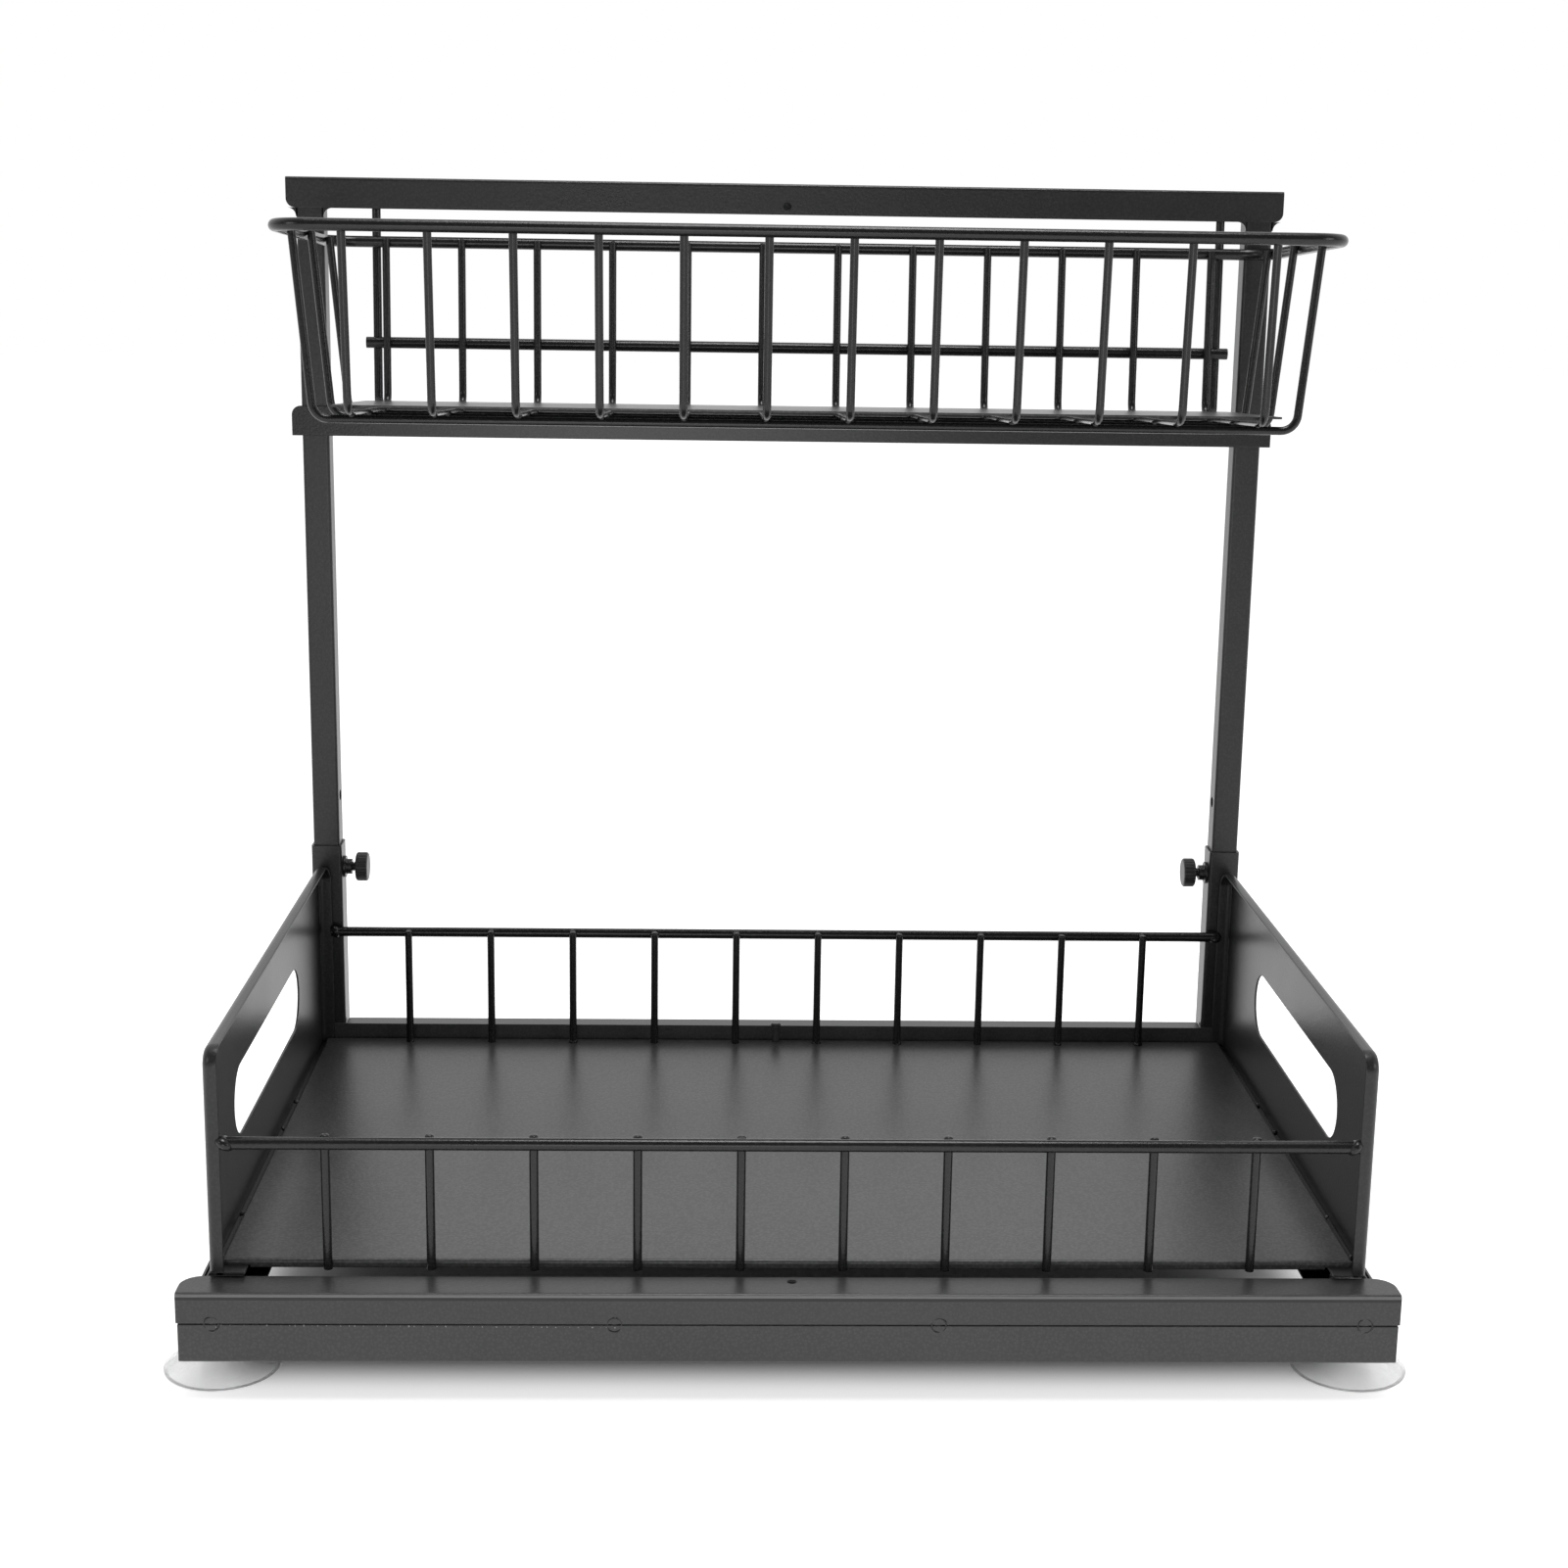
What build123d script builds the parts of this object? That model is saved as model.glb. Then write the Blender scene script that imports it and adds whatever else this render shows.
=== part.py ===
from build123d import *
from math import atan2, cos, degrees, sin, tan
import os

os.makedirs("parts", exist_ok=True)

# Sheet metal, wires and fits
sheet = 0.8
outer_fold = 1.2
weld_sink = 0.15
track_gap = 0.3
face_gap = 0.3
pin_fit = 0.05
cut_run = 2.0

# Overall frame: from the front rail's weld bumps to the back of the sleeves
frame_depth = 261.3
weld_proud = 0.3

# Front rail
rail_width = 400.0
rail_bottom = 13.2
rail_height = 24.2
seam_height = 13.8
seam_gap = 0.6
rail_flange = 13.7
rail_flange_corner = 7.0
lower_rail_trim = 0.5
doubler_lap = 9.5
cup_flange = 33.0
rail_hole = 3.2
rail_hole_setback = 10.2
rail_weld = 6.0
outer_weld_inset = 11.5
inner_weld_spacing = 106.0
weld_pair_count = 2
inner_weld_shift = -5.0
weld_chamfer_share = 0.6
groove_fill = 4.8

# Rear rail
rear_rail_inset = 5.0
rear_rail_height = 33.5
rear_flange = 8.0
rear_flange_gap = 0.35
rear_flange_corner = 1.5
rear_rail_corner = 6.0
rear_cup_flange = 22.0

# Suction cups
cup_inset = 9.4
cup_diameter = 38.8
cup_setback = 25.5
rear_cup_setback = 12.5
cup_lip = 0.7
cup_slope_radius_share = 0.66
cup_slope_height_share = 0.64
cup_hollow_radius_share = 0.6
cup_wall = 1.4
cup_crown = 7.0
cup_neck = 10.0
cup_stem = 6.0
cup_head = 8.6
cup_head_height = 2.4

# Side bars and runners
side_bar_inset = 5.5
side_bar_rise = 4.3
side_bar_drop = 1.2
side_bar_foot = 12.0
runner_reach = 16.0
runner_inside = 10.0

# Sleeves and uprights
post_inset = 12.75
sleeve_size = 12.4
sleeve_top = 123.5
post_fit = 0.05
post_insert = 76.5
plug_flange = 0.8
plug_length = 8.0
plug_fit = 0.05
adjusting_pitch = 30.6
adjusting_hole = 4.4
adjusting_holes = 3
screw_drop = 10.3

# Thumb screws
screw_diameter = 4.0
screw_tip_gap = 0.3
nut_flange = 9.0
nut_flange_thick = 1.0
nut_barrel = 6.4
nut_length = 2.4
knob_diameter = 12.0
knob_thick = 5.0
knob_standoff = 5.2
knob_cap = 1.0
knob_grooves = 24
knob_groove = 0.7
knob_round = 1.0

# Tray
tray_side_gap = 8.6
tray_setback = 12.5
tray_clearance = 0.8
panel_height = 77.7
panel_corner = 6.5
panel_flange = 5.0
panel_rear_flange = 6.0
panel_foot = 11.4
slot_length = 133.0
slot_height = 24.5
slot_from_front = 114.5
slot_centre_height = 39.6
floor_rise = 2.8
floor_side_inset = 2.8
front_lip_inset = 12.4
floor_setback = 6.5
tray_hold = 70.0

# Fences
fence_wire = 3.0
front_fence_rod = 4.2
rear_fence_rod = 4.0
fence_count = 10
fence_end_inset = 38.22
front_fence_height = 42.5
rear_fence_height = 46.6
fence_drop = 2.6
front_tip_inset = 0.1
rear_tip_inset = 0.5
rear_fence_inset = 0.1
wire_end_round = 0.9

# Stop stud
stud_diameter = 3.0
stud_height = 8.3
stud_head = 4.2
stud_head_height = 1.8
stud_head_round = 0.6
stud_setback = 3.2

# Rollers and brackets
front_roller = 12.0
front_roller_place = 24.0
roller_width = 8.0
roller_side_gap = 0.3
axle_diameter = 3.0
axle_head = 5.0
axle_head_thick = 0.8
axle_collar = 0.8
roller_groove = 0.6
rear_roller_place = 12.5
bracket_gap = 0.9
bracket_reach = 12.0
bracket_length = 15.0
bracket_toe = 3.3
roller_pass = 2.0

# Bars
bar_overhang = 3.8
bar_height = 11.8
top_bar_top = 393.0
bar_corner = 3.5
shelf_bar_drop = 88.8
shelf_bar_depth = 10.0
bar_hole = 3.2
top_bar_hole_drop = 8.5
shelf_bar_hole_drop = 4.9

# Basket
basket_shift = 5.3
rim_rod = 4.4
rim_drop = 24.5
rim_side_inset = 10.2
rim_depth = 125.0
rim_corner = 12.0
basket_wire = 3.0
basket_depth = 63.6
front_lean = 9.5
side_lean = 6.7
wire_bend = 6.0
long_wire_count = 12
long_wire_inset = 23.95
cross_wire_count = 3
cross_wire_inset = 13.75
wire_tip_proud = 1.0
plate_side_inset = 16.2
plate_margin = 6.5
hanger_rod = 3.4
hanger_inset = 19.4
hanger_tip = 16.5
hook_drop = 4.4
hook_run = 4.1
hook_bend = 1.9
mid_wire_drop = 38.9
mid_wire_overrun = 4.0

# Levels and depths that several pieces share
front = -frame_depth / 2
back = frame_depth / 2
rail_face = front + weld_proud
rail_top = rail_bottom + rail_height
seam = rail_bottom + seam_height
flange_top = rail_bottom + sheet
sleeve_front = back - sleeve_size
rear_face = sleeve_front - sheet
rear_rail_top = rail_bottom + rear_rail_height
rear_rail_width = rail_width - 2 * rear_rail_inset
cup_spacing = rail_width - 2 * cup_inset
outer_weld_spacing = rail_width - 2 * outer_weld_inset
side_bar_outer = rail_width / 2 - side_bar_inset
side_bar_inner = side_bar_outer - sheet
side_bar_bottom = rail_bottom + side_bar_rise
side_bar_top = rail_top - side_bar_drop
post_spacing = rail_width - 2 * post_inset
post_x = post_spacing / 2
post_bottom = sleeve_top - post_insert
screw_height = sleeve_top - screw_drop
post_y = back - sleeve_size / 2
sleeve_bore = sleeve_size - 2 * sheet
post_size = sleeve_bore - 2 * post_fit
tube_bore = post_size - 2 * sheet
sleeve_inner_face = post_x - sleeve_size / 2
rear_flange_width = post_spacing - sleeve_size - 2 * rear_flange_gap
tray_width = rail_width - 2 * tray_side_gap
tray_half = tray_width / 2
tray_front = rail_face + tray_setback
tray_rear = rear_face - face_gap
panel_length = tray_rear - tray_front
tray_travel = panel_length - tray_hold
panel_bottom = rail_top + tray_clearance
panel_top = panel_bottom + panel_height
foot_top = panel_bottom + sheet
floor_top = panel_bottom + floor_rise
floor_front = tray_front + floor_setback
floor_rear = tray_rear - sheet
floor_width = tray_width - 2 * floor_side_inset
front_lip_width = tray_width - 2 * front_lip_inset
fence_pitch = (tray_width - 2 * fence_end_inset) / (fence_count - 1)
bar_width = post_spacing + post_size + 2 * bar_overhang
shelf_bar_top = top_bar_top - shelf_bar_drop
rim_height = top_bar_top - rim_drop
rim_width = bar_width - 2 * rim_side_inset
plate_width = rim_width - 2 * plate_side_inset
hanger_spacing = rim_width - 2 * hanger_inset
long_wire_pitch = (rim_width - 2 * long_wire_inset) / (long_wire_count - 1)
cross_wire_pitch = (rim_depth - front_lean - 2 * cross_wire_inset) / (cross_wire_count - 1)


def save(piece, name):
    piece.part.label = name
    export_step(piece.part, f"parts/{name}.step")


def save_pair(right, name, about=Plane.YZ):
    with BuildPart() as left:
        mirror(right.part, about=about)
    save(right, f"{name}_right")
    save(left, f"{name}_left")


def folded_strip(plane, points, side, length):
    with BuildPart() as strip:
        with BuildSketch(plane):
            with BuildLine():
                FilletPolyline(*points, radius=outer_fold)
                offset(amount=sheet, side=side)
            make_face()
        extrude(amount=length)
    return strip.part


def bent_wire(plane, points, bend, diameter):
    with BuildPart() as wire:
        with BuildLine(plane) as route:
            FilletPolyline(*points, radius=bend)
        with BuildSketch(Plane(origin=route.line @ 0, z_dir=route.line % 0)):
            Circle(diameter / 2)
        sweep(path=route.line)
    return wire.part


def spread(count, pitch):
    return [(number - (count - 1) / 2) * pitch for number in range(count)]


# Front rail, upper sheet: face and top flange, corners rounded at the back
with BuildPart() as front_rail_upper:
    upper_points = [(rail_face, seam), (rail_face, rail_top), (rail_face + rail_flange, rail_top)]
    add(folded_strip(Plane.YZ.offset(-rail_width / 2), upper_points, Side.RIGHT, rail_width))
    rear_corners = front_rail_upper.edges().filter_by(Axis.Z).group_by(Axis.Y)[-1]
    fillet(rear_corners, radius=rail_flange_corner)
    with Locations((0, rail_face + rail_hole_setback, rail_top)):
        Hole(rail_hole / 2, depth=sheet + cut_run)
save(front_rail_upper, "front_rail_upper")

# Front rail, lower sheet: below the seam, with a doubler behind it that laps the upper sheet
doubler_face = rail_face + sheet
doubler_top = rail_top - outer_fold
doubler_bottom = seam - doubler_lap
lower_top = seam - seam_gap
lower_width = rail_width - 2 * lower_rail_trim
cup_y_front = rail_face + cup_setback
with BuildPart() as front_rail_lower:
    lower_points = [(rail_face, lower_top), (rail_face, rail_bottom), (rail_face + cup_flange, rail_bottom)]
    add(folded_strip(Plane.YZ.offset(-lower_width / 2), lower_points, Side.LEFT, lower_width))
    rear_corners = front_rail_lower.edges().filter_by(Axis.Z).group_by(Axis.Y)[-1]
    fillet(rear_corners, radius=rail_flange_corner)
    with BuildSketch(Plane.XY.offset(doubler_bottom)):
        with Locations((0, doubler_face)):
            Rectangle(lower_width, sheet, align=(Align.CENTER, Align.MIN))
    extrude(amount=doubler_top - doubler_bottom)
    with Locations((cup_spacing / 2, cup_y_front, flange_top), (-cup_spacing / 2, cup_y_front, flange_top)):
        Hole(cup_stem / 2 + pin_fit, depth=sheet + cut_run)
save(front_rail_lower, "front_rail_lower")

# Weld nuggets across the seam of the front rail, each filling the seam's groove behind it
inner_welds = [x + inner_weld_shift for x in spread(weld_pair_count, inner_weld_spacing)]
weld_places = spread(weld_pair_count, outer_weld_spacing) + inner_welds
with BuildPart() as rail_welds:
    with BuildSketch(Plane.XZ.offset(-rail_face)):
        with Locations(*[(x, seam - seam_gap / 2) for x in weld_places]):
            Circle(rail_weld / 2)
    extrude(amount=weld_proud)
    weld_rims = rail_welds.faces().filter_by(Axis.Y).group_by(Axis.Y)[0].edges()
    chamfer(weld_rims, length=weld_proud * weld_chamfer_share)
    with BuildSketch(Plane.XZ.offset(-doubler_face)):
        with Locations(*[(x, seam - seam_gap / 2) for x in weld_places]):
            Rectangle(groove_fill, seam_gap)
    extrude(amount=sheet)
save(rail_welds, "rail_welds")

# Rear rail: a high face, a flange backwards between the sleeves, a flange forwards for the cups
cup_y_rear = rear_face - rear_cup_setback
with BuildPart() as rear_rail:
    rear_points = [(rear_face + sheet, rear_rail_top), (rear_face + sheet, rail_bottom),
                   (rear_face - rear_cup_flange, rail_bottom)]
    add(folded_strip(Plane.YZ.offset(-rear_rail_width / 2), rear_points, Side.RIGHT, rear_rail_width))
    face_corners = rear_rail.edges().filter_by(Axis.Y).group_by(Axis.Z)[-1]
    fillet(face_corners, radius=rear_rail_corner)
    front_corners = rear_rail.edges().filter_by(Axis.Z).group_by(Axis.Y)[0]
    fillet(front_corners, radius=rear_rail_corner)
    with BuildSketch(Plane.XY.offset(rear_rail_top - sheet)):
        with Locations((0, rear_face + rear_flange / 2)):
            Rectangle(rear_flange_width, rear_flange)
    extrude(amount=sheet)
    back_corners = rear_rail.edges().filter_by(Axis.Z).group_by(Axis.Y)[-1]
    fillet(back_corners, radius=rear_flange_corner)
    with Locations((cup_spacing / 2, cup_y_rear, flange_top), (-cup_spacing / 2, cup_y_rear, flange_top)):
        Hole(cup_stem / 2 + pin_fit, depth=sheet + cut_run)
save(rear_rail, "rear_rail")


def suction_cup(x, y):
    slope_radius = cup_diameter / 2 * cup_slope_radius_share
    slope_height = cup_crown * cup_slope_height_share
    hollow_radius = cup_diameter / 2 * cup_hollow_radius_share
    with BuildPart() as cup:
        with BuildSketch(Plane.XZ) as half:
            with BuildLine():
                Polyline((0, cup_crown - cup_wall), (0, flange_top + cup_head_height),
                         (cup_head / 2 - pin_fit, flange_top + cup_head_height),
                         (cup_head / 2, flange_top), (cup_stem / 2, flange_top),
                         (cup_stem / 2, rail_bottom), (cup_neck / 2, rail_bottom),
                         (cup_neck / 2, cup_crown))
                cup_top = ThreePointArc((cup_neck / 2, cup_crown), (slope_radius, slope_height),
                                        (cup_diameter / 2, cup_lip))
                Polyline(cup_top @ 1, (cup_diameter / 2, 0), (cup_diameter / 2 - cup_wall, 0))
                ThreePointArc((cup_diameter / 2 - cup_wall, 0),
                              (hollow_radius, slope_height - cup_wall),
                              (cup_stem / 2, cup_crown - cup_wall))
                Line((cup_stem / 2, cup_crown - cup_wall), (0, cup_crown - cup_wall))
            make_face()
        revolve(axis=Axis.Z)
    with BuildPart() as placed:
        with Locations((x, y, 0)):
            add(cup.part)
    return placed


for end, cup_y in (("front", cup_y_front), ("rear", cup_y_rear)):
    save_pair(suction_cup(cup_spacing / 2, cup_y), f"suction_cup_{end}")

# Side bar: an angle from the front rail's sheet back to the rear rail
side_bar_front = doubler_face + sheet
with BuildPart() as side_bar:
    bar_points = [(side_bar_outer - side_bar_foot, side_bar_bottom), (side_bar_outer, side_bar_bottom),
                  (side_bar_outer, side_bar_top)]
    add(folded_strip(Plane.XZ.offset(-rear_face), bar_points, Side.LEFT, rear_face - side_bar_front))
save_pair(side_bar, "side_bar")

# Front roller stud and roller: they carry the tray's foot flange
front_roller_y = rail_face + front_roller_place
front_axis_z = panel_bottom - track_gap - front_roller / 2
roller_outer_x = side_bar_inner - sheet - axle_collar - roller_side_gap
roller_inner_x = roller_outer_x - roller_width
axle_inner_x = roller_inner_x - roller_side_gap


def roller(y, z, diameter):
    with BuildPart() as wheel:
        with BuildSketch(Plane.YZ.offset(roller_inner_x)):
            with Locations((y, z)):
                Circle(diameter / 2)
                Circle(axle_diameter / 2 + pin_fit, mode=Mode.SUBTRACT)
        extrude(amount=roller_width)
        tread_rims = wheel.edges().filter_by(GeomType.CIRCLE).group_by(SortBy.RADIUS)[-1]
        fillet(tread_rims, radius=roller_groove)
    return wheel


with BuildPart() as front_axle:
    with BuildSketch(Plane.YZ.offset(axle_inner_x)):
        with Locations((front_roller_y, front_axis_z)):
            Circle(axle_diameter / 2)
    extrude(amount=side_bar_inner - sheet - axle_inner_x)
    with BuildSketch(Plane.YZ.offset(side_bar_inner - sheet - axle_collar)):
        with Locations((front_roller_y, front_axis_z)):
            Circle(axle_head / 2)
    extrude(amount=axle_collar)
    with BuildSketch(Plane.YZ.offset(axle_inner_x - axle_head_thick)):
        with Locations((front_roller_y, front_axis_z)):
            Circle(axle_head / 2)
    extrude(amount=axle_head_thick)
save_pair(front_axle, "front_axle")
save_pair(roller(front_roller_y, front_axis_z, front_roller), "front_roller")

# Runner: a channel open to the inside, its upper flange cut away over the front roller
rear_roller = runner_inside - 2 * track_gap
runner_floor = front_axis_z - front_roller / 2 - roller_groove
rear_axis_z = runner_floor + runner_inside / 2
runner_top = runner_floor + runner_inside + sheet
rear_roller_y = tray_rear - rear_roller_place
stop_y = rear_roller_y - tray_travel - rear_roller / 2 - track_gap
runner_inner_x = side_bar_inner - runner_reach
with BuildPart() as runner:
    channel_points = [(runner_inner_x, runner_floor - sheet), (side_bar_inner, runner_floor - sheet),
                      (side_bar_inner, runner_top), (runner_inner_x, runner_top)]
    add(folded_strip(Plane.XZ.offset(-rear_face), channel_points, Side.LEFT, rear_face - side_bar_front))
    flange_cut_end = front_roller_y + front_roller / 2 + roller_pass
    with BuildSketch(Plane.XY.offset(runner_top - outer_fold)):
        with Locations((side_bar_inner - outer_fold, flange_cut_end)):
            Rectangle(runner_reach, flange_cut_end - side_bar_front, align=(Align.MAX, Align.MAX))
    extrude(amount=outer_fold + cut_run, mode=Mode.SUBTRACT)
    with BuildSketch(Plane.XZ.offset(-stop_y)):
        with Locations((side_bar_inner - sheet, runner_floor)):
            Rectangle(runner_reach - sheet, runner_inside, align=(Align.MAX, Align.MIN))
    extrude(amount=sheet)
save_pair(runner, "runner")

# Sleeve: a square socket behind the rear rail, with a round hole for its threaded insert
with BuildPart() as sleeve:
    with BuildSketch(Plane.XY.offset(flange_top)):
        with Locations((post_x, post_y)):
            RectangleRounded(sleeve_size, sleeve_size, outer_fold)
            RectangleRounded(sleeve_bore, sleeve_bore, outer_fold - sheet, mode=Mode.SUBTRACT)
    extrude(amount=sleeve_top - flange_top)
    with BuildSketch(Plane.YZ.offset(sleeve_inner_face - cut_run)):
        with Locations((post_y, screw_height)):
            Circle(screw_diameter / 2 + pin_fit)
    extrude(amount=cut_run + sheet, mode=Mode.SUBTRACT)
save_pair(sleeve, "sleeve")

# Threaded insert on the sleeve's inner face
with BuildPart() as rivet_nut:
    nut_start = sleeve_inner_face - nut_flange_thick - nut_length
    with BuildSketch(Plane.YZ.offset(nut_start)):
        with Locations((post_y, screw_height)):
            Circle(nut_barrel / 2)
    extrude(amount=nut_length)
    with BuildSketch(Plane.YZ.offset(sleeve_inner_face - nut_flange_thick)):
        with Locations((post_y, screw_height)):
            Circle(nut_flange / 2)
    extrude(amount=nut_flange_thick)
    with BuildSketch(Plane.YZ.offset(nut_start - cut_run)):
        with Locations((post_y, screw_height)):
            Circle(screw_diameter / 2 + pin_fit)
    extrude(amount=nut_length + nut_flange_thick + 2 * cut_run, mode=Mode.SUBTRACT)
save_pair(rivet_nut, "rivet_nut")

# Screw: a plain shank whose tip ends just short of the upright
post_face = post_x - post_size / 2
knob_outer_x = sleeve_inner_face - knob_standoff
knob_inner_x = knob_outer_x - knob_thick
screw_start = knob_inner_x + knob_cap
with BuildPart() as screw:
    with BuildSketch(Plane.YZ.offset(screw_start)):
        with Locations((post_y, screw_height)):
            Circle(screw_diameter / 2)
    extrude(amount=post_face - screw_tip_gap - screw_start)
    chamfer(screw.faces().sort_by(Axis.X)[-1].edges(), length=screw_tip_gap)
save_pair(screw, "screw")

# Knob: a disc with rounded rims and a grooved edge, and a blind bore for the screw
with BuildPart() as knob:
    with BuildSketch(Plane.YZ.offset(knob_inner_x)):
        with Locations((post_y, screw_height)):
            Circle(knob_diameter / 2)
    extrude(amount=knob_thick)
    fillet(knob.edges().filter_by(GeomType.CIRCLE), radius=knob_round)
    with BuildSketch(Plane.YZ.offset(knob_inner_x)):
        with Locations((post_y, screw_height)):
            with PolarLocations(knob_diameter / 2, knob_grooves):
                Circle(knob_groove / 2)
    extrude(amount=knob_thick, mode=Mode.SUBTRACT)
    with BuildSketch(Plane.YZ.offset(screw_start - pin_fit)):
        with Locations((post_y, screw_height)):
            Circle(screw_diameter / 2 + pin_fit)
    extrude(amount=knob_thick, mode=Mode.SUBTRACT)
save_pair(knob, "knob")

# Upright: a square tube with adjusting holes in its inner face
with BuildPart() as upright:
    tube_bottom = post_bottom + plug_flange
    tube_top = top_bar_top - outer_fold
    with BuildSketch(Plane.XY.offset(tube_bottom)):
        with Locations((post_x, post_y)):
            RectangleRounded(post_size, post_size, outer_fold)
            RectangleRounded(tube_bore, tube_bore, outer_fold - sheet, mode=Mode.SUBTRACT)
    extrude(amount=tube_top - tube_bottom)
    with BuildSketch(Plane.YZ.offset(post_face - cut_run)):
        with Locations(*[(post_y, screw_height + step) for step in spread(adjusting_holes, adjusting_pitch)]):
            Circle(adjusting_hole / 2)
    extrude(amount=cut_run + 2 * sheet, mode=Mode.SUBTRACT)
save_pair(upright, "upright")

# Plug in the upright's lower end
with BuildPart() as upright_plug:
    with BuildSketch(Plane.XY.offset(post_bottom)):
        with Locations((post_x, post_y)):
            RectangleRounded(post_size, post_size, outer_fold)
    extrude(amount=plug_flange)
    plug_size = tube_bore - 2 * plug_fit
    with BuildSketch(Plane.XY.offset(tube_bottom)):
        with Locations((post_x, post_y)):
            RectangleRounded(plug_size, plug_size, outer_fold - sheet)
    extrude(amount=plug_length)
save_pair(upright_plug, "upright_plug")

# Top bar: a channel turned over that caps the uprights, with a small hole in its face
bar_back = post_y - post_size / 2
bar_front = bar_back - sheet
top_bar_bottom = top_bar_top - bar_height
with BuildPart() as top_bar:
    top_points = [(bar_front, top_bar_bottom), (bar_front, top_bar_top), (back, top_bar_top),
                  (back, top_bar_bottom)]
    add(folded_strip(Plane.YZ.offset(-bar_width / 2), top_points, Side.RIGHT, bar_width))
    fillet(top_bar.edges().filter_by(Axis.Y).group_by(Axis.Z)[0], radius=bar_corner)
    with BuildSketch(Plane.XZ.offset(-bar_back)):
        with Locations((0, top_bar_top - top_bar_hole_drop)):
            Circle(bar_hole / 2)
    extrude(amount=sheet, mode=Mode.SUBTRACT)
save(top_bar, "top_bar")

# Shelf bar: a face in front of the uprights, folded between them into a channel open at the top
shelf_bar_bottom = shelf_bar_top - bar_height
shelf_channel_width = post_spacing - post_size - 2 * face_gap
with BuildPart() as shelf_bar:
    with BuildSketch(Plane.XZ.offset(-bar_back)):
        with Locations((0, (shelf_bar_bottom + shelf_bar_top) / 2)):
            Rectangle(bar_width, bar_height)
        with Locations((0, shelf_bar_top - shelf_bar_hole_drop)):
            Circle(bar_hole / 2, mode=Mode.SUBTRACT)
    extrude(amount=sheet)
    fillet(shelf_bar.edges().filter_by(Axis.Y).group_by(Axis.Z)[-1], radius=bar_corner)
    with BuildSketch(Plane.XY.offset(shelf_bar_bottom)):
        with Locations((0, bar_front)):
            Rectangle(shelf_channel_width, shelf_bar_depth, align=(Align.CENTER, Align.MIN))
    extrude(amount=sheet)
    with BuildSketch(Plane.XY.offset(shelf_bar_bottom)):
        with Locations((0, bar_front + shelf_bar_depth)):
            Rectangle(shelf_channel_width, sheet, align=(Align.CENTER, Align.MAX))
    extrude(amount=bar_height)
    rear_leg = shelf_bar.edges().filter_by(Axis.Y).group_by(Axis.Z)[-1].sort_by(Axis.Y)[-2:]
    fillet(rear_leg, radius=bar_corner)
    lower_edges = shelf_bar.edges().filter_by(Axis.X).group_by(Axis.Z)[0]
    fillet(lower_edges.group_by(Axis.Y)[0] + lower_edges.group_by(Axis.Y)[-1], radius=sheet / 2)
save(shelf_bar, "shelf_bar")

# Tray side panel: web with a hand slot, narrow flanges in front, above and behind, a foot flange below
with BuildPart() as side_panel:
    with BuildSketch(Plane.YZ.offset(tray_half - sheet)):
        with Locations((tray_front, panel_bottom)):
            Rectangle(panel_length, panel_height, align=(Align.MIN, Align.MIN))
        with Locations((tray_front + slot_from_front, panel_bottom + slot_centre_height)):
            SlotOverall(slot_length, slot_height, mode=Mode.SUBTRACT)
    extrude(amount=sheet)
    top_corners = side_panel.edges().filter_by(Axis.X).group_by(Axis.Z)[-1]
    fillet(top_corners, radius=panel_corner)
    straight_height = panel_height - panel_corner
    with BuildSketch(Plane.XY.offset(panel_bottom)):
        with Locations((tray_half, tray_front)):
            Rectangle(panel_flange, sheet, align=(Align.MAX, Align.MIN))
        with Locations((tray_half, tray_rear)):
            Rectangle(panel_rear_flange, sheet, align=(Align.MAX, Align.MAX))
    extrude(amount=straight_height)
    with BuildSketch(Plane.XY.offset(panel_top - sheet)):
        with Locations((tray_half, (tray_front + tray_rear) / 2)):
            Rectangle(panel_flange, panel_length - 2 * panel_corner, align=(Align.MAX, Align.CENTER))
    extrude(amount=sheet)
    with BuildSketch(Plane.XY.offset(panel_bottom)):
        with Locations((tray_half, tray_front)):
            Rectangle(panel_foot, panel_length, align=(Align.MAX, Align.MIN))
    extrude(amount=sheet)
    upright_folds = side_panel.edges().filter_by(Axis.Z).group_by(Axis.X)[-1]
    long_folds = side_panel.edges().filter_by(Axis.Y).group_by(Axis.X)[-1]
    fillet(upright_folds + long_folds, radius=sheet / 2)
save_pair(side_panel, "side_panel")

# Tray floor: a shallow sheet pan turned down on all four sides, standing on the foot flanges
floor_length = floor_rear - floor_front
with BuildPart() as tray_floor:
    with BuildSketch(Plane.XY.offset(foot_top)):
        with Locations((0, (floor_front + floor_rear) / 2)):
            Rectangle(floor_width, floor_length)
    extrude(amount=floor_top - foot_top)
    fillet(tray_floor.faces().sort_by(Axis.Z)[-1].edges(), radius=outer_fold)
    with BuildSketch(Plane.XY.offset(foot_top)):
        with Locations((0, (floor_front + floor_rear) / 2)):
            Rectangle(floor_width - 2 * sheet, floor_length - 2 * sheet)
    extrude(amount=floor_top - sheet - foot_top, mode=Mode.SUBTRACT)
    with BuildSketch(Plane.XY.offset(panel_bottom)):
        with Locations((0, floor_front)):
            Rectangle(front_lip_width, sheet, align=(Align.CENTER, Align.MIN))
    extrude(amount=foot_top - panel_bottom)
save(tray_floor, "tray_floor")

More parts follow.
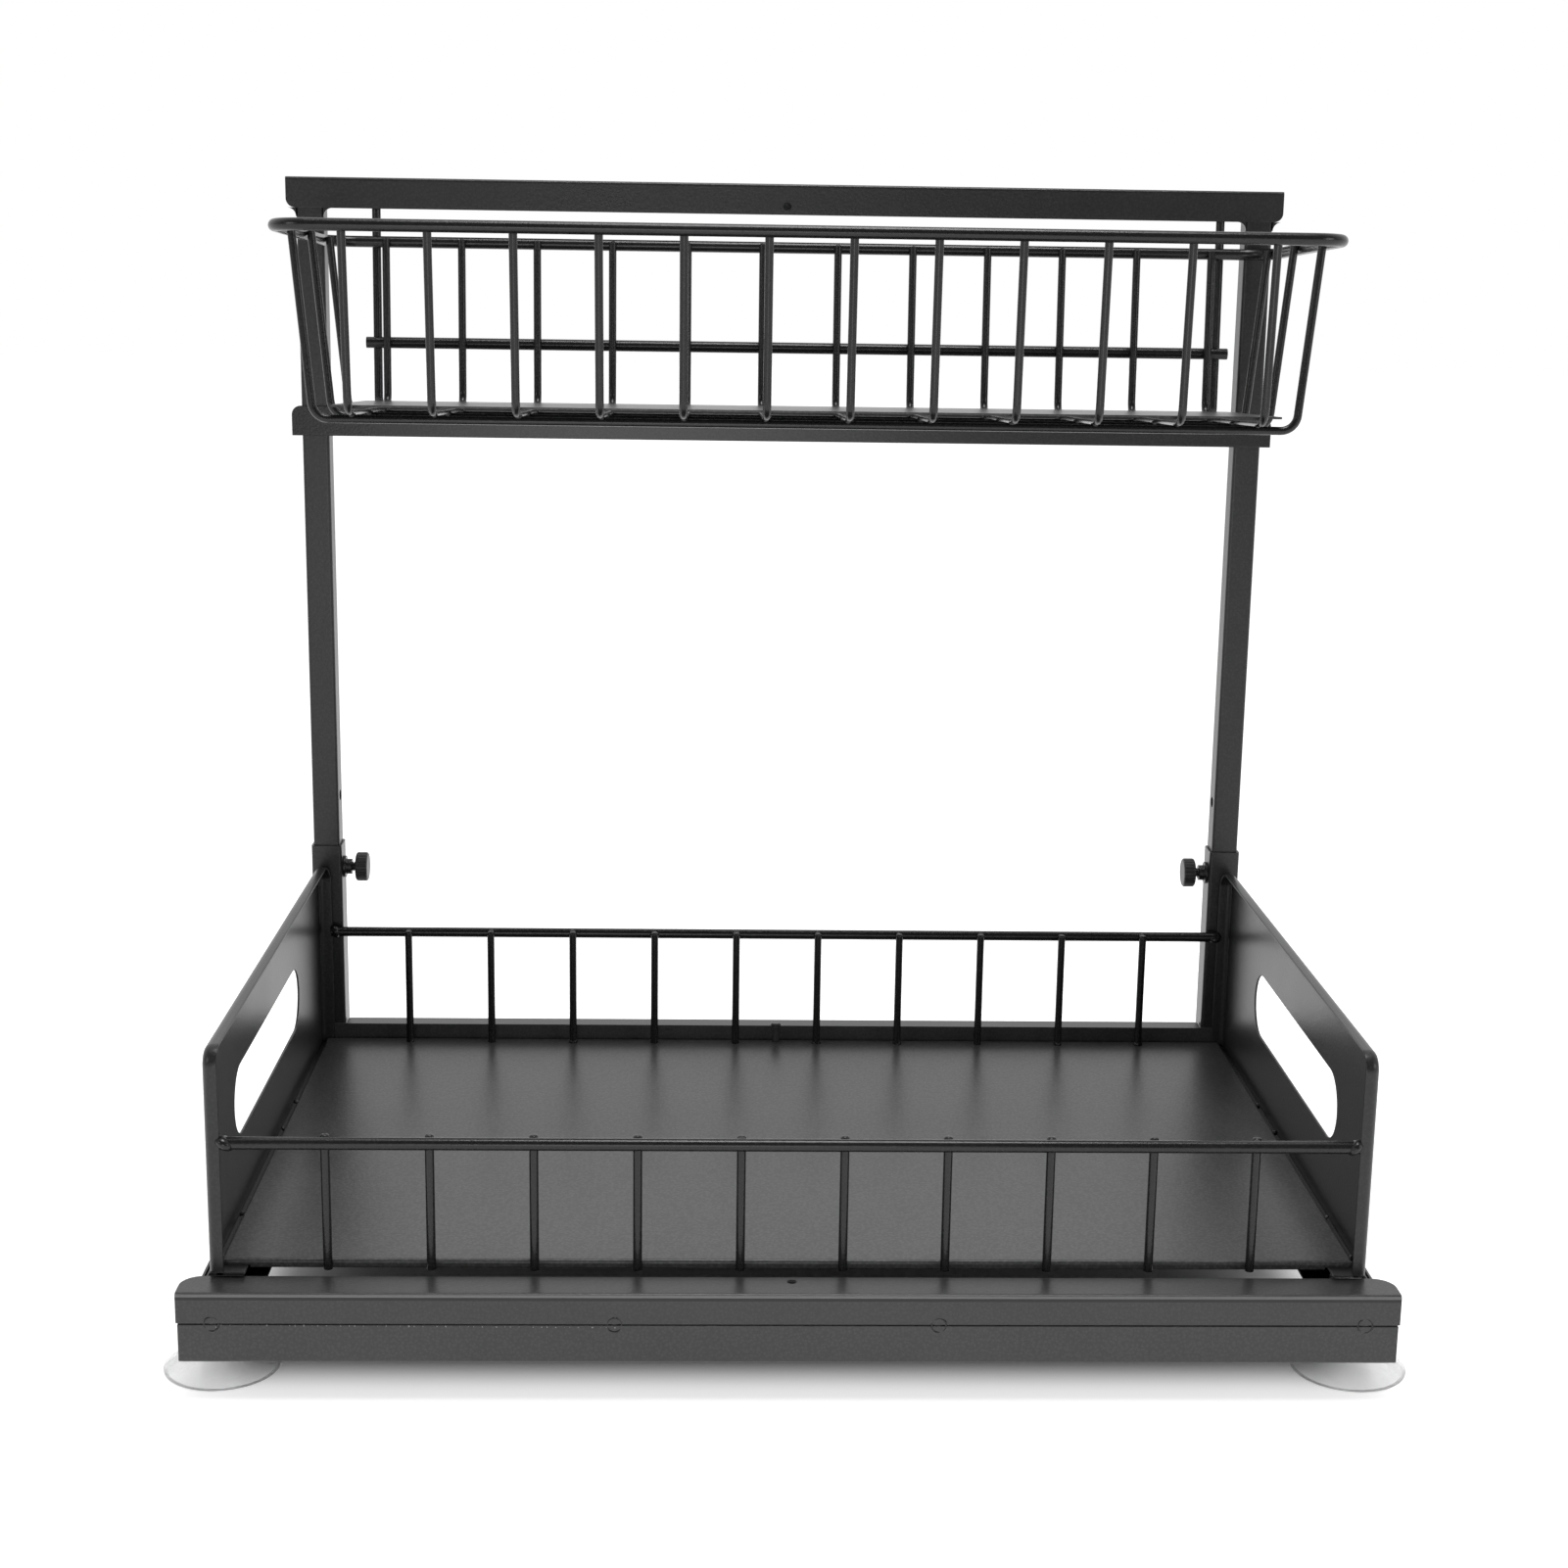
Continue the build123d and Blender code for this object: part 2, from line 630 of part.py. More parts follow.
# Fences: a rod across between the panels' flanges, upright wires welded to it and to the floor
fence_places = spread(fence_count, fence_pitch)
front_wire_y = floor_front - fence_wire / 2 + weld_sink
front_rod_y = front_wire_y - fence_wire / 2 - front_fence_rod / 2 + weld_sink
front_rod_z = floor_top + front_fence_height
rear_rod_y = tray_rear - rear_fence_inset - rear_fence_rod / 2
rear_wire_y = rear_rod_y - rear_fence_rod / 2 - fence_wire / 2 + weld_sink
rear_rod_z = floor_top + rear_fence_height


def fence_rod(y, z, diameter, flange):
    reach = tray_half - flange + weld_sink
    with BuildPart() as rod:
        with BuildSketch(Plane.YZ.offset(-reach)):
            with Locations((y, z)):
                Circle(diameter / 2)
        extrude(amount=2 * reach)
    return rod


def fence_wires(y, bottom, top):
    with BuildPart() as wires:
        with BuildSketch(Plane.XY.offset(bottom)):
            with Locations(*[(x, y) for x in fence_places]):
                Circle(fence_wire / 2)
        extrude(amount=top - bottom)
        fillet(wires.edges().filter_by(GeomType.CIRCLE).group_by(Axis.Z)[-1], radius=wire_end_round)
    return wires


front_wire_top = front_rod_z + front_fence_rod / 2 - front_tip_inset
rear_wire_top = rear_rod_z + rear_fence_rod / 2 - rear_tip_inset
save(fence_rod(front_rod_y, front_rod_z, front_fence_rod, panel_flange), "front_fence_rail")
save(fence_rod(rear_rod_y, rear_rod_z, rear_fence_rod, panel_rear_flange), "rear_fence_rail")
save(fence_wires(front_wire_y, floor_top - fence_drop, front_wire_top), "front_fence_wires")
save(fence_wires(rear_wire_y, floor_top, rear_wire_top), "rear_fence_wires")

# Stop stud on the floor's rear edge
with BuildPart() as stop_stud:
    stud_y = tray_rear - stud_setback
    with BuildSketch(Plane.XY.offset(floor_top)):
        with Locations((0, stud_y)):
            Circle(stud_diameter / 2)
    extrude(amount=stud_height)
    with BuildSketch(Plane.XY.offset(floor_top + stud_height - stud_head_height)):
        with Locations((0, stud_y)):
            Circle(stud_head / 2)
    extrude(amount=stud_head_height)
    fillet(stop_stud.faces().sort_by(Axis.Z)[-1].edges(), radius=stud_head_round)
save(stop_stud, "stop_stud")

# Rear bracket: hangs from the floor sheet down beside the runner
bracket_outer_x = runner_inner_x - bracket_gap
bracket_top = floor_top - sheet
with BuildPart() as rear_bracket:
    bracket_points = [(bracket_outer_x - bracket_reach, bracket_top), (bracket_outer_x, bracket_top),
                      (bracket_outer_x, rear_axis_z - bracket_toe)]
    bracket_plane = Plane.XZ.offset(-rear_roller_y - bracket_length / 2)
    add(folded_strip(bracket_plane, bracket_points, Side.RIGHT, bracket_length))
save_pair(rear_bracket, "rear_bracket")

# Rear axle: riveted to the bracket, carries the roller inside the channel
with BuildPart() as rear_axle:
    rear_axle_end = roller_outer_x + roller_side_gap
    with BuildSketch(Plane.YZ.offset(bracket_outer_x)):
        with Locations((rear_roller_y, rear_axis_z)):
            Circle(axle_diameter / 2)
    extrude(amount=rear_axle_end - bracket_outer_x)
    with BuildSketch(Plane.YZ.offset(bracket_outer_x)):
        with Locations((rear_roller_y, rear_axis_z)):
            Circle(axle_head / 2)
    extrude(amount=roller_inner_x - roller_side_gap - bracket_outer_x)
    with BuildSketch(Plane.YZ.offset(rear_axle_end)):
        with Locations((rear_roller_y, rear_axis_z)):
            Circle(axle_head / 2)
    extrude(amount=axle_head_thick)
save_pair(rear_axle, "rear_axle")
save_pair(roller(rear_roller_y, rear_axis_z, rear_roller), "rear_roller")

# Basket frame: the hangers pass behind the top bar and come out over the shelf bar, so it leans
behind_y = bar_back + face_gap + hanger_rod / 2
shelf_clear_y = behind_y - hook_run
lean = atan2(hook_run, top_bar_bottom - shelf_bar_top)
hanger_offset = rim_rod / 2 + hanger_rod / 2 - weld_sink
wire_offset = rim_rod / 2 + basket_wire / 2 - weld_sink


def hanger_line(z):
    return shelf_clear_y + (z - shelf_bar_top) * tan(lean)


rim_y = hanger_line(rim_height - hanger_offset * sin(lean)) - hanger_offset * cos(lean)
basket_up = (0, sin(lean), cos(lean))
basket_back = (0, cos(lean), -sin(lean))
basket_plane = Plane(origin=(basket_shift, rim_y, rim_height), x_dir=(1, 0, 0), z_dir=basket_up)
middle = Plane.YZ.offset(basket_shift)


def lengthwise(x):
    return Plane(origin=basket_plane.from_local_coords((x, 0, 0)), x_dir=basket_back, z_dir=(1, 0, 0))


def crosswise(y):
    forward = tuple(-part for part in basket_back)
    return Plane(origin=basket_plane.from_local_coords((0, y, 0)), x_dir=(1, 0, 0), z_dir=forward)


# Rim: one closed rod
rim_half = rim_width / 2
rim_corners = [(-rim_half, 0), (rim_half, 0), (rim_half, -rim_depth), (-rim_half, -rim_depth)]
with BuildPart() as basket_rim:
    with BuildLine(basket_plane) as rim_route:
        FilletPolyline(*rim_corners, radius=rim_corner, close=True)
    with BuildSketch(Plane(origin=rim_route.line @ 0, z_dir=rim_route.line % 0)):
        Circle(rim_rod / 2)
    sweep(path=rim_route.line)
save(basket_rim, "basket_rim")

# Long wires: from the front of the rim down, under the plate and up behind
long_bottom = -basket_depth
long_front = -rim_depth + wire_offset
long_points = [(long_front, wire_tip_proud), (long_front + front_lean, long_bottom),
               (-wire_offset, long_bottom), (-wire_offset, wire_tip_proud)]
with BuildPart() as basket_long_wires:
    for place in spread(long_wire_count, long_wire_pitch):
        add(bent_wire(lengthwise(place), long_points, wire_bend, basket_wire))
save(basket_long_wires, "basket_long_wires")

# Cross wires: from side to side below the long wires
cross_bottom = long_bottom - basket_wire + weld_sink
cross_top = rim_half - wire_offset
cross_points = [(-cross_top, wire_tip_proud), (-cross_top + side_lean, cross_bottom),
                (cross_top - side_lean, cross_bottom), (cross_top, wire_tip_proud)]
bottom_middle = (-rim_depth + front_lean) / 2
with BuildPart() as basket_cross_wires:
    for place in spread(cross_wire_count, cross_wire_pitch):
        add(bent_wire(crosswise(bottom_middle + place), cross_points, wire_bend, basket_wire))
save(basket_cross_wires, "basket_cross_wires")

# Plate: a flat sheet lying on the long wires
plate_bottom = long_bottom + basket_wire / 2 - weld_sink
plate_depth = rim_depth - front_lean - 2 * wire_offset - 2 * plate_margin
with BuildPart() as basket_plate:
    with BuildSketch(basket_plane.offset(plate_bottom)):
        with Locations((0, bottom_middle)):
            Rectangle(plate_width, plate_depth)
    extrude(amount=sheet)
save(basket_plate, "basket_plate")

# Middle wire across the back
with BuildPart() as mid_wire:
    mid_reach = hanger_spacing / 2 + mid_wire_overrun
    with BuildSketch(lengthwise(-mid_reach)):
        with Locations((0, -mid_wire_drop)):
            Circle(rim_rod / 2)
    extrude(amount=2 * mid_reach)
save(mid_wire, "mid_wire")

# Hanger: straight up behind the top bar, its lower end hooked over the shelf bar
hook_z = shelf_bar_top + face_gap + hanger_rod / 2
tip_y = rim_y + hanger_offset * cos(lean) + hanger_tip * sin(lean)
tip_z = rim_height - hanger_offset * sin(lean) + hanger_tip * cos(lean)
hanger_points = [(tip_y, tip_z), (hanger_line(hook_z), hook_z), (behind_y, hook_z),
                 (behind_y, shelf_bar_top - hook_drop)]
with BuildPart() as hanger:
    add(bent_wire(Plane.YZ.offset(basket_shift + hanger_spacing / 2), hanger_points, hook_bend, hanger_rod))
save_pair(hanger, "hanger", about=middle)

print("lean", round(degrees(lean), 3), "rim y", round(rim_y, 3), "bar front", round(bar_front, 3))
print("front axle", round(front_roller_y, 3), round(front_axis_z, 3), "rear axle", round(rear_roller_y, 3),
      round(rear_axis_z, 3), "rear roller", round(rear_roller, 3))
print("post", round(post_x, 3), round(post_y, 3), "knob", round(knob_inner_x, 3), round(knob_outer_x, 3))
print("floor top", round(floor_top, 3), "tray front", round(tray_front, 3), "tray rear", round(tray_rear, 3))
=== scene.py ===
# %% [markdown]
# An under sink organizer: a sheet metal tray that slides out of a low base, and above it a wire basket
# hooked on two bars between square uprights. Everything metal is powder coated in one dark grey, so the
# picture lives on the fine speckle of that coat and on soft highlights along rods and folded edges.

# %% Load the frame and note its size
import math

import bpy
import bmesh
from mathutils import Matrix, Vector


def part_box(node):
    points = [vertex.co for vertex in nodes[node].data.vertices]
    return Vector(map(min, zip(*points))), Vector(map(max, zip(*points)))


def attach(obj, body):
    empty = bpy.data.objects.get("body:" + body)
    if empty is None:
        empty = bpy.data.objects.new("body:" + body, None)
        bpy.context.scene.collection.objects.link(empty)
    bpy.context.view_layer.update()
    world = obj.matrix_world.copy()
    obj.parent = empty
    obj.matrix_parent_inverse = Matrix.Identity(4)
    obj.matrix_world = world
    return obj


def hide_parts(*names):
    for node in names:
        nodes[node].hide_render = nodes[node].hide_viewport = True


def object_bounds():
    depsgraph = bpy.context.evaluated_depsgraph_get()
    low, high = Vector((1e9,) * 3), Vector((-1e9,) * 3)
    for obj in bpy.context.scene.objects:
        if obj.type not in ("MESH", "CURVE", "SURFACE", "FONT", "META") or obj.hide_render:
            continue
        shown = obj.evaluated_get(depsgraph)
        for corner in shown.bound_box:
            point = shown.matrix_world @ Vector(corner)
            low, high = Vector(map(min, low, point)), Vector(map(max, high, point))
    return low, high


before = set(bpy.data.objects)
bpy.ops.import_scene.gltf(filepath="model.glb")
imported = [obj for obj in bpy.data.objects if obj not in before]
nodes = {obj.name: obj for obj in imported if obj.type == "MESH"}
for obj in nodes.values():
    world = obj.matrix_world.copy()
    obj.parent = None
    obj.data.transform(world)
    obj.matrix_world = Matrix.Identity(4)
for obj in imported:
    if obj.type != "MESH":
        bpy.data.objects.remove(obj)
cad_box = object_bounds()

# %% [markdown]
# The photograph is square, 1601 pixels a side, and was taken from a little above and left of the middle.
# The camera's place, turn and focal length were worked out from straight edges of the object, and the
# lens shift puts the picture's middle where the lens pointed.

# %% Camera
PHOTO_SIDE = 1601
FOCAL_PIXELS = 2509.22
CENTRE_PIXELS = (803.35, 791.15)
SENSOR = 36.0
camera_place = Vector((-0.02767, -0.87377, 0.37680))
camera_yaw, camera_pitch, camera_roll = -0.031057, -0.219569, -0.015314


def placed(name, data):
    """A new object that holds this data, linked into the scene."""
    made = bpy.data.objects.new(name, data)
    bpy.context.scene.collection.objects.link(made)
    return made


camera_data = bpy.data.cameras.new("photo_camera")
camera_data.sensor_width = SENSOR
camera_data.lens = SENSOR * FOCAL_PIXELS / PHOTO_SIDE
camera_data.shift_x = (PHOTO_SIDE / 2 - CENTRE_PIXELS[0]) / PHOTO_SIDE
camera_data.shift_y = (CENTRE_PIXELS[1] - PHOTO_SIDE / 2) / PHOTO_SIDE
camera = placed("photo_camera", camera_data)
look_along_y = Matrix.Rotation(math.radians(90), 3, "X")
turn = (Matrix.Rotation(camera_yaw, 3, "Z") @ Matrix.Rotation(camera_pitch, 3, "X")
        @ Matrix.Rotation(camera_roll, 3, "Y"))
camera.matrix_world = Matrix.Translation(camera_place) @ (turn @ look_along_y).to_4x4()
bpy.context.scene.camera = camera
print("camera lens", round(camera_data.lens, 2), "mm")

# %% [markdown]
# A material is a tree of nodes, and Blender's own calls for it are wordy. Two helpers keep the trees below
# readable: one starts an empty material, and one adds a node with its settings and with the values of
# its free inputs. The settings come first, because they decide which inputs a node has.

# %% Helpers for node trees


def new_material(name):
    material = bpy.data.materials.new(name)
    material.use_nodes = True
    material.node_tree.nodes.clear()
    return material, material.node_tree


def add_node(tree, kind, place=(0, 0), inputs=None, **settings):
    """A node with its settings, and with values for inputs that nothing is linked to."""
    made = tree.nodes.new(kind)
    made.location = place
    for name, value in settings.items():
        setattr(made, name, value)
    for socket, value in (inputs or {}).items():
        made.inputs[socket].default_value = value
    return made


# %% [markdown]
# The photograph has a pure white ground. Here the floor is pale and keeps a soft contact shadow: what
# the camera sees of it gets a little glow of its own, so that it reads as white where the light reaches
# it and only the shadow stays grey. Glossy and see-through surfaces get the same glow. Under the middle
# of the object the glow is off and it fades in towards the edge of the footprint, so that the gaps below
# the tray stay dark while the ground around the suction cups is bright. That dark patch is painted shadow:
# inside it the floor shows the real shade of the lamps, but where it begins and ends is drawn by the
# footprint, not by the light.

# %% Floor material
FLOOR_GLOW = 0.62
GLOW_FADE = 0.03
PAINTED_SHADOW_INSET = 0.034
PAPER_GREY = (0.86, 0.86, 0.86, 1)
WHITE = (1, 1, 1, 1)
BACKGROUND_RAYS = ("Is Camera Ray", "Is Glossy Ray", "Is Transmission Ray")


def seen_directly(tree, kinds):
    """1 for the kinds of ray that look at the background, 0 for the light that falls on the object."""
    path = add_node(tree, "ShaderNodeLightPath", (-900, 400))
    total = path.outputs[kinds[0]]
    for step, kind in enumerate(kinds[1:]):
        either = add_node(tree, "ShaderNodeMath", (-650 + 200 * step, 400), operation="MAXIMUM")
        tree.links.new(total, either.inputs[0])
        tree.links.new(path.outputs[kind], either.inputs[1])
        total = either.outputs[0]
    return total


floor_material, tree = new_material("pale_floor")
paper = add_node(tree, "ShaderNodeBsdfDiffuse", (0, 0), {"Color": PAPER_GREY})
glow = add_node(tree, "ShaderNodeEmission", (0, -150), {"Color": WHITE})
on_floor = add_node(tree, "ShaderNodeTexCoord", (-1100, -300))
mirrored = add_node(tree, "ShaderNodeVectorMath", (-900, -300), operation="ABSOLUTE")
# Painted shadow: no glow inside this rectangle under the object, fading in past its edge.
painted_shadow_half_size = (cad_box[1][0] - PAINTED_SHADOW_INSET, cad_box[1][1] - PAINTED_SHADOW_INSET, 0)
past_edge = add_node(tree, "ShaderNodeVectorMath", (-700, -300), {1: painted_shadow_half_size}, operation="SUBTRACT")
outside = add_node(tree, "ShaderNodeVectorMath", (-500, -300), {1: (0, 0, 0)}, operation="MAXIMUM")
away = add_node(tree, "ShaderNodeVectorMath", (-300, -300), operation="LENGTH")
fade = add_node(tree, "ShaderNodeMapRange", (-150, -300), {"From Max": GLOW_FADE, "To Max": FLOOR_GLOW},
                interpolation_type="SMOOTHSTEP")
tree.links.new(on_floor.outputs["Object"], mirrored.inputs[0])
tree.links.new(mirrored.outputs[0], past_edge.inputs[0])
tree.links.new(past_edge.outputs[0], outside.inputs[0])
tree.links.new(outside.outputs[0], away.inputs[0])
tree.links.new(away.outputs["Value"], fade.inputs["Value"])
tree.links.new(fade.outputs[0], glow.inputs["Strength"])
both = add_node(tree, "ShaderNodeAddShader", (200, -60))
pick = add_node(tree, "ShaderNodeMixShader", (400, 0))
output = add_node(tree, "ShaderNodeOutputMaterial", (600, 0))
tree.links.new(paper.outputs[0], both.inputs[0])
tree.links.new(glow.outputs[0], both.inputs[1])
tree.links.new(seen_directly(tree, BACKGROUND_RAYS), pick.inputs["Fac"])
tree.links.new(paper.outputs[0], pick.inputs[1])
tree.links.new(both.outputs[0], pick.inputs[2])
tree.links.new(pick.outputs[0], output.inputs["Surface"])
print("material", floor_material.name, "has", len(tree.nodes), "nodes")

# %% [markdown]
# The floor itself is one square at zero height, where the suction cups stand. It is so wide that its
# edge never shows, and it is staged, because it isn't part of the object.

# %% Floor
FLOOR_SIDE = 12.0
half = FLOOR_SIDE / 2
floor_corners = [(-half, -half, 0), (half, -half, 0), (half, half, 0), (-half, half, 0)]
floor_mesh = bpy.data.meshes.new("floor")
floor_mesh.from_pydata(floor_corners, [], [(0, 1, 2, 3)])
floor_mesh.materials.append(floor_material)
floor = placed("floor", floor_mesh)
print("floor", FLOOR_SIDE, "m a side")

# %% [markdown]
# Product photographs are taken against a white sweep in a darker room. Dark coated metal shows that
# plainly: its front faces mirror the dim room, and every face seen at a slant mirrors the bright sweep.
# So the sky here is bright behind the object and dim in front of it. The camera and see-through surfaces
# find it plain white, as the photograph's ground is.

# %% Sky
ROOM_LIGHT = 0.12
SWEEP_LIGHT = 1.0
SWEEP_EDGE = 0.55

world = bpy.data.worlds.new("studio")
bpy.context.scene.world = world
world.use_nodes = True
sky = world.node_tree
sky.nodes.clear()
direction = add_node(sky, "ShaderNodeTexCoord", (-900, 0))
along = add_node(sky, "ShaderNodeSeparateXYZ", (-700, 0))
from_room_to_sweep = add_node(sky, "ShaderNodeMapRange", (-500, 0), {
    "From Min": -SWEEP_EDGE, "From Max": SWEEP_EDGE, "To Min": ROOM_LIGHT, "To Max": SWEEP_LIGHT},
    interpolation_type="SMOOTHSTEP")
sky.links.new(direction.outputs["Generated"], along.inputs[0])
sky.links.new(along.outputs["Y"], from_room_to_sweep.inputs["Value"])
light = add_node(sky, "ShaderNodeBackground", (0, 0), {"Color": WHITE})
sky.links.new(from_room_to_sweep.outputs[0], light.inputs["Strength"])
white = add_node(sky, "ShaderNodeBackground", (0, -150), {"Color": WHITE, "Strength": 1.0})
pick = add_node(sky, "ShaderNodeMixShader", (250, 0))
output = add_node(sky, "ShaderNodeOutputWorld", (450, 0))
sky.links.new(seen_directly(sky, ("Is Camera Ray", "Is Transmission Ray")), pick.inputs["Fac"])
sky.links.new(light.outputs[0], pick.inputs[1])
sky.links.new(white.outputs[0], pick.inputs[2])
sky.links.new(pick.outputs[0], output.inputs["Surface"])
bpy.context.scene.view_settings.view_transform = "Standard"
print("sky has", len(sky.nodes), "nodes")

# %% [markdown]
# Soft lamps do the rest: a wide one above the tray for its floor, and weaker ones for the sides and the
# front of the base. Each is given by its place, the point it aims at, its side in metres and its power.

# %% Lamps


def soft_lamp(name, place, aim, side, power):
    data = bpy.data.lights.new(name, "AREA")
    data.shape = "SQUARE"
    data.size = side
    data.energy = power
    lamp = placed(name, data)
    lamp.location = place
    lamp.rotation_euler = (Vector(aim) - Vector(place)).to_track_quat("-Z", "Y").to_euler()


LAMPS = (("top_lamp", (0.05, -0.1, 1.5), (0, -0.02, 0.05), 0.55, 9.0),
         ("left_lamp", (-1.2, -0.9, 0.7), (0, -0.1, 0.1), 0.5, 2.6),
         ("right_lamp", (1.2, -0.8, 0.6), (0, -0.1, 0.1), 0.5, 3.0),
         ("front_lamp", (-0.1, -1.3, 0.2), (0, -0.13, 0.03), 0.4, 1.5))
for lamp_values in LAMPS:
    soft_lamp(*lamp_values)
print(len(LAMPS), "lamps")

# %% [markdown]
# Powder coat is plastic powder baked on the steel. Close up it is a fine pebbled skin, a little like
# orange peel, with tiny specks that catch the light. The pebble is a bump from a noise with the cells of
# the specks laid over it, and the specks shift the colour a touch. Because several materials want a fine
# grain, it is a node group with the sizes as named inputs.

# %% Fine grain group
SPECK_IN_HEIGHT = 0.35
SPECK_REACH = 0.65


def group_socket(tree, name, kind, output=False, value=None):
    item = tree.interface.new_socket(name=name, in_out="OUTPUT" if output else "INPUT", socket_type=kind)
    if value is not None:
        item.default_value = value
    return item


grain_group = bpy.data.node_groups.new("fine_grain", "ShaderNodeTree")
for socket_name, start in (("Grain Size", 0.0006), ("Speck Size", 0.0003), ("Speck Amount", 0.3)):
    group_socket(grain_group, socket_name, "NodeSocketFloat", value=start)
group_socket(grain_group, "Height", "NodeSocketFloat", output=True)
group_socket(grain_group, "Tone", "NodeSocketFloat", output=True)
entry = add_node(grain_group, "NodeGroupInput", (-900, 0))
leave = add_node(grain_group, "NodeGroupOutput", (700, 0))
where = add_node(grain_group, "ShaderNodeTexCoord", (-900, 300))
turns = {}
for socket_name, row in (("Grain Size", 0), ("Speck Size", -250)):
    turns[socket_name] = add_node(grain_group, "ShaderNodeMath", (-650, row), {0: 1.0}, operation="DIVIDE")
    grain_group.links.new(entry.outputs[socket_name], turns[socket_name].inputs[1])
pebble = add_node(grain_group, "ShaderNodeTexNoise", (-400, 150), {"Detail": 2.0})
speck = add_node(grain_group, "ShaderNodeTexVoronoi", (-400, -200), feature="F1")
for texture, socket_name in ((pebble, "Grain Size"), (speck, "Speck Size")):
    grain_group.links.new(where.outputs["Object"], texture.inputs["Vector"])
    grain_group.links.new(turns[socket_name].outputs[0], texture.inputs["Scale"])
sum_height = add_node(grain_group, "ShaderNodeMath", (200, 150), {1: SPECK_IN_HEIGHT},
                      operation="MULTIPLY_ADD")
grain_group.links.new(speck.outputs["Distance"], sum_height.inputs[0])
grain_group.links.new(pebble.outputs["Fac"], sum_height.inputs[2])
grain_group.links.new(sum_height.outputs[0], leave.inputs["Height"])
tone_mix = add_node(grain_group, "ShaderNodeMapRange", (100, -200), {
    "From Max": SPECK_REACH, "To Min": 1.0, "To Max": 0.0})
tone_scaled = add_node(grain_group, "ShaderNodeMath", (400, -200), operation="MULTIPLY")
grain_group.links.new(speck.outputs["Distance"], tone_mix.inputs["Value"])
grain_group.links.new(tone_mix.outputs[0], tone_scaled.inputs[0])
grain_group.links.new(entry.outputs["Speck Amount"], tone_scaled.inputs[1])
grain_group.links.new(tone_scaled.outputs[0], leave.inputs["Tone"])
print("group", grain_group.name, "has", len(grain_group.nodes), "nodes")

# %% [markdown]
# The second group finds edges by comparing the true normal with one that a small bevel has rounded.
# The finishes use that edge mask for a painted highlight, so the coat looks lighter along a bent edge
# than in the middle of a bar. The group also adds broad, faint clouds like handling marks and settled dust.

# %% Edge highlight and handling group
ALIKE_ON_FLAT, ALIKE_ON_EDGE = 0.98, 0.72
BEVEL_SAMPLES = 6
edge_and_cloud_group = bpy.data.node_groups.new("edge_highlight_and_handling", "ShaderNodeTree")
for socket_name, start in (("Edge Radius", 0.0005), ("Cloud Size", 0.05)):
    group_socket(edge_and_cloud_group, socket_name, "NodeSocketFloat", value=start)
group_socket(edge_and_cloud_group, "Edge", "NodeSocketFloat", output=True)
group_socket(edge_and_cloud_group, "Cloud", "NodeSocketFloat", output=True)
group_socket(edge_and_cloud_group, "Rounded Normal", "NodeSocketVector", output=True)
entry = add_node(edge_and_cloud_group, "NodeGroupInput", (-900, 0))
leave = add_node(edge_and_cloud_group, "NodeGroupOutput", (700, 0))
rounded = add_node(edge_and_cloud_group, "ShaderNodeBevel", (-600, 100), samples=BEVEL_SAMPLES)
true_normal = add_node(edge_and_cloud_group, "ShaderNodeNewGeometry", (-600, -100))
edge_and_cloud_group.links.new(entry.outputs["Edge Radius"], rounded.inputs["Radius"])
alike = add_node(edge_and_cloud_group, "ShaderNodeVectorMath", (-350, 0), operation="DOT_PRODUCT")
edge_and_cloud_group.links.new(rounded.outputs[0], alike.inputs[0])
edge_and_cloud_group.links.new(true_normal.outputs["True Normal"], alike.inputs[1])
# The edge mask, used by the finishes for a painted highlight along bent edges.
edge = add_node(edge_and_cloud_group, "ShaderNodeMapRange", (-100, 0), {
    "From Min": ALIKE_ON_FLAT, "From Max": ALIKE_ON_EDGE})
edge_and_cloud_group.links.new(alike.outputs["Value"], edge.inputs["Value"])
edge_and_cloud_group.links.new(edge.outputs[0], leave.inputs["Edge"])
edge_and_cloud_group.links.new(rounded.outputs[0], leave.inputs["Rounded Normal"])
where = add_node(edge_and_cloud_group, "ShaderNodeTexCoord", (-900, -300))
cloud_scale = add_node(edge_and_cloud_group, "ShaderNodeMath", (-600, -300), {0: 1.0}, operation="DIVIDE")
edge_and_cloud_group.links.new(entry.outputs["Cloud Size"], cloud_scale.inputs[1])
cloud = add_node(edge_and_cloud_group, "ShaderNodeTexNoise", (-350, -300), {"Detail": 4.0})
edge_and_cloud_group.links.new(where.outputs["Object"], cloud.inputs["Vector"])
edge_and_cloud_group.links.new(cloud_scale.outputs[0], cloud.inputs["Scale"])
edge_and_cloud_group.links.new(cloud.outputs["Fac"], leave.inputs["Cloud"])
print("group", edge_and_cloud_group.name, "has", len(edge_and_cloud_group.nodes), "nodes")

# %% [markdown]
# The front rail is folded over at its top. On the real rail the fold shows as a thin light line with a
# dark one below it, finer than the mesh: a highlight on the fold and a shadow under it. So two bands are
# laid over the colour by height alone, a painted highlight and a painted shadow. Each has its first and
# last distance below the fold, its colour, and how much of that colour it takes.

# %% Painted highlight and shadow along a fold
# A painted highlight on the fold, then a painted shadow below it.
FOLD_HIGHLIGHT_AND_SHADOW_BANDS = (("painted_fold_highlight", 0.0004, 0.0013, (0.3, 0.3, 0.3, 1), 0.55),
                ("painted_fold_shadow", 0.0013, 0.0024, (0.0, 0.0, 0.0, 1), 1.0))


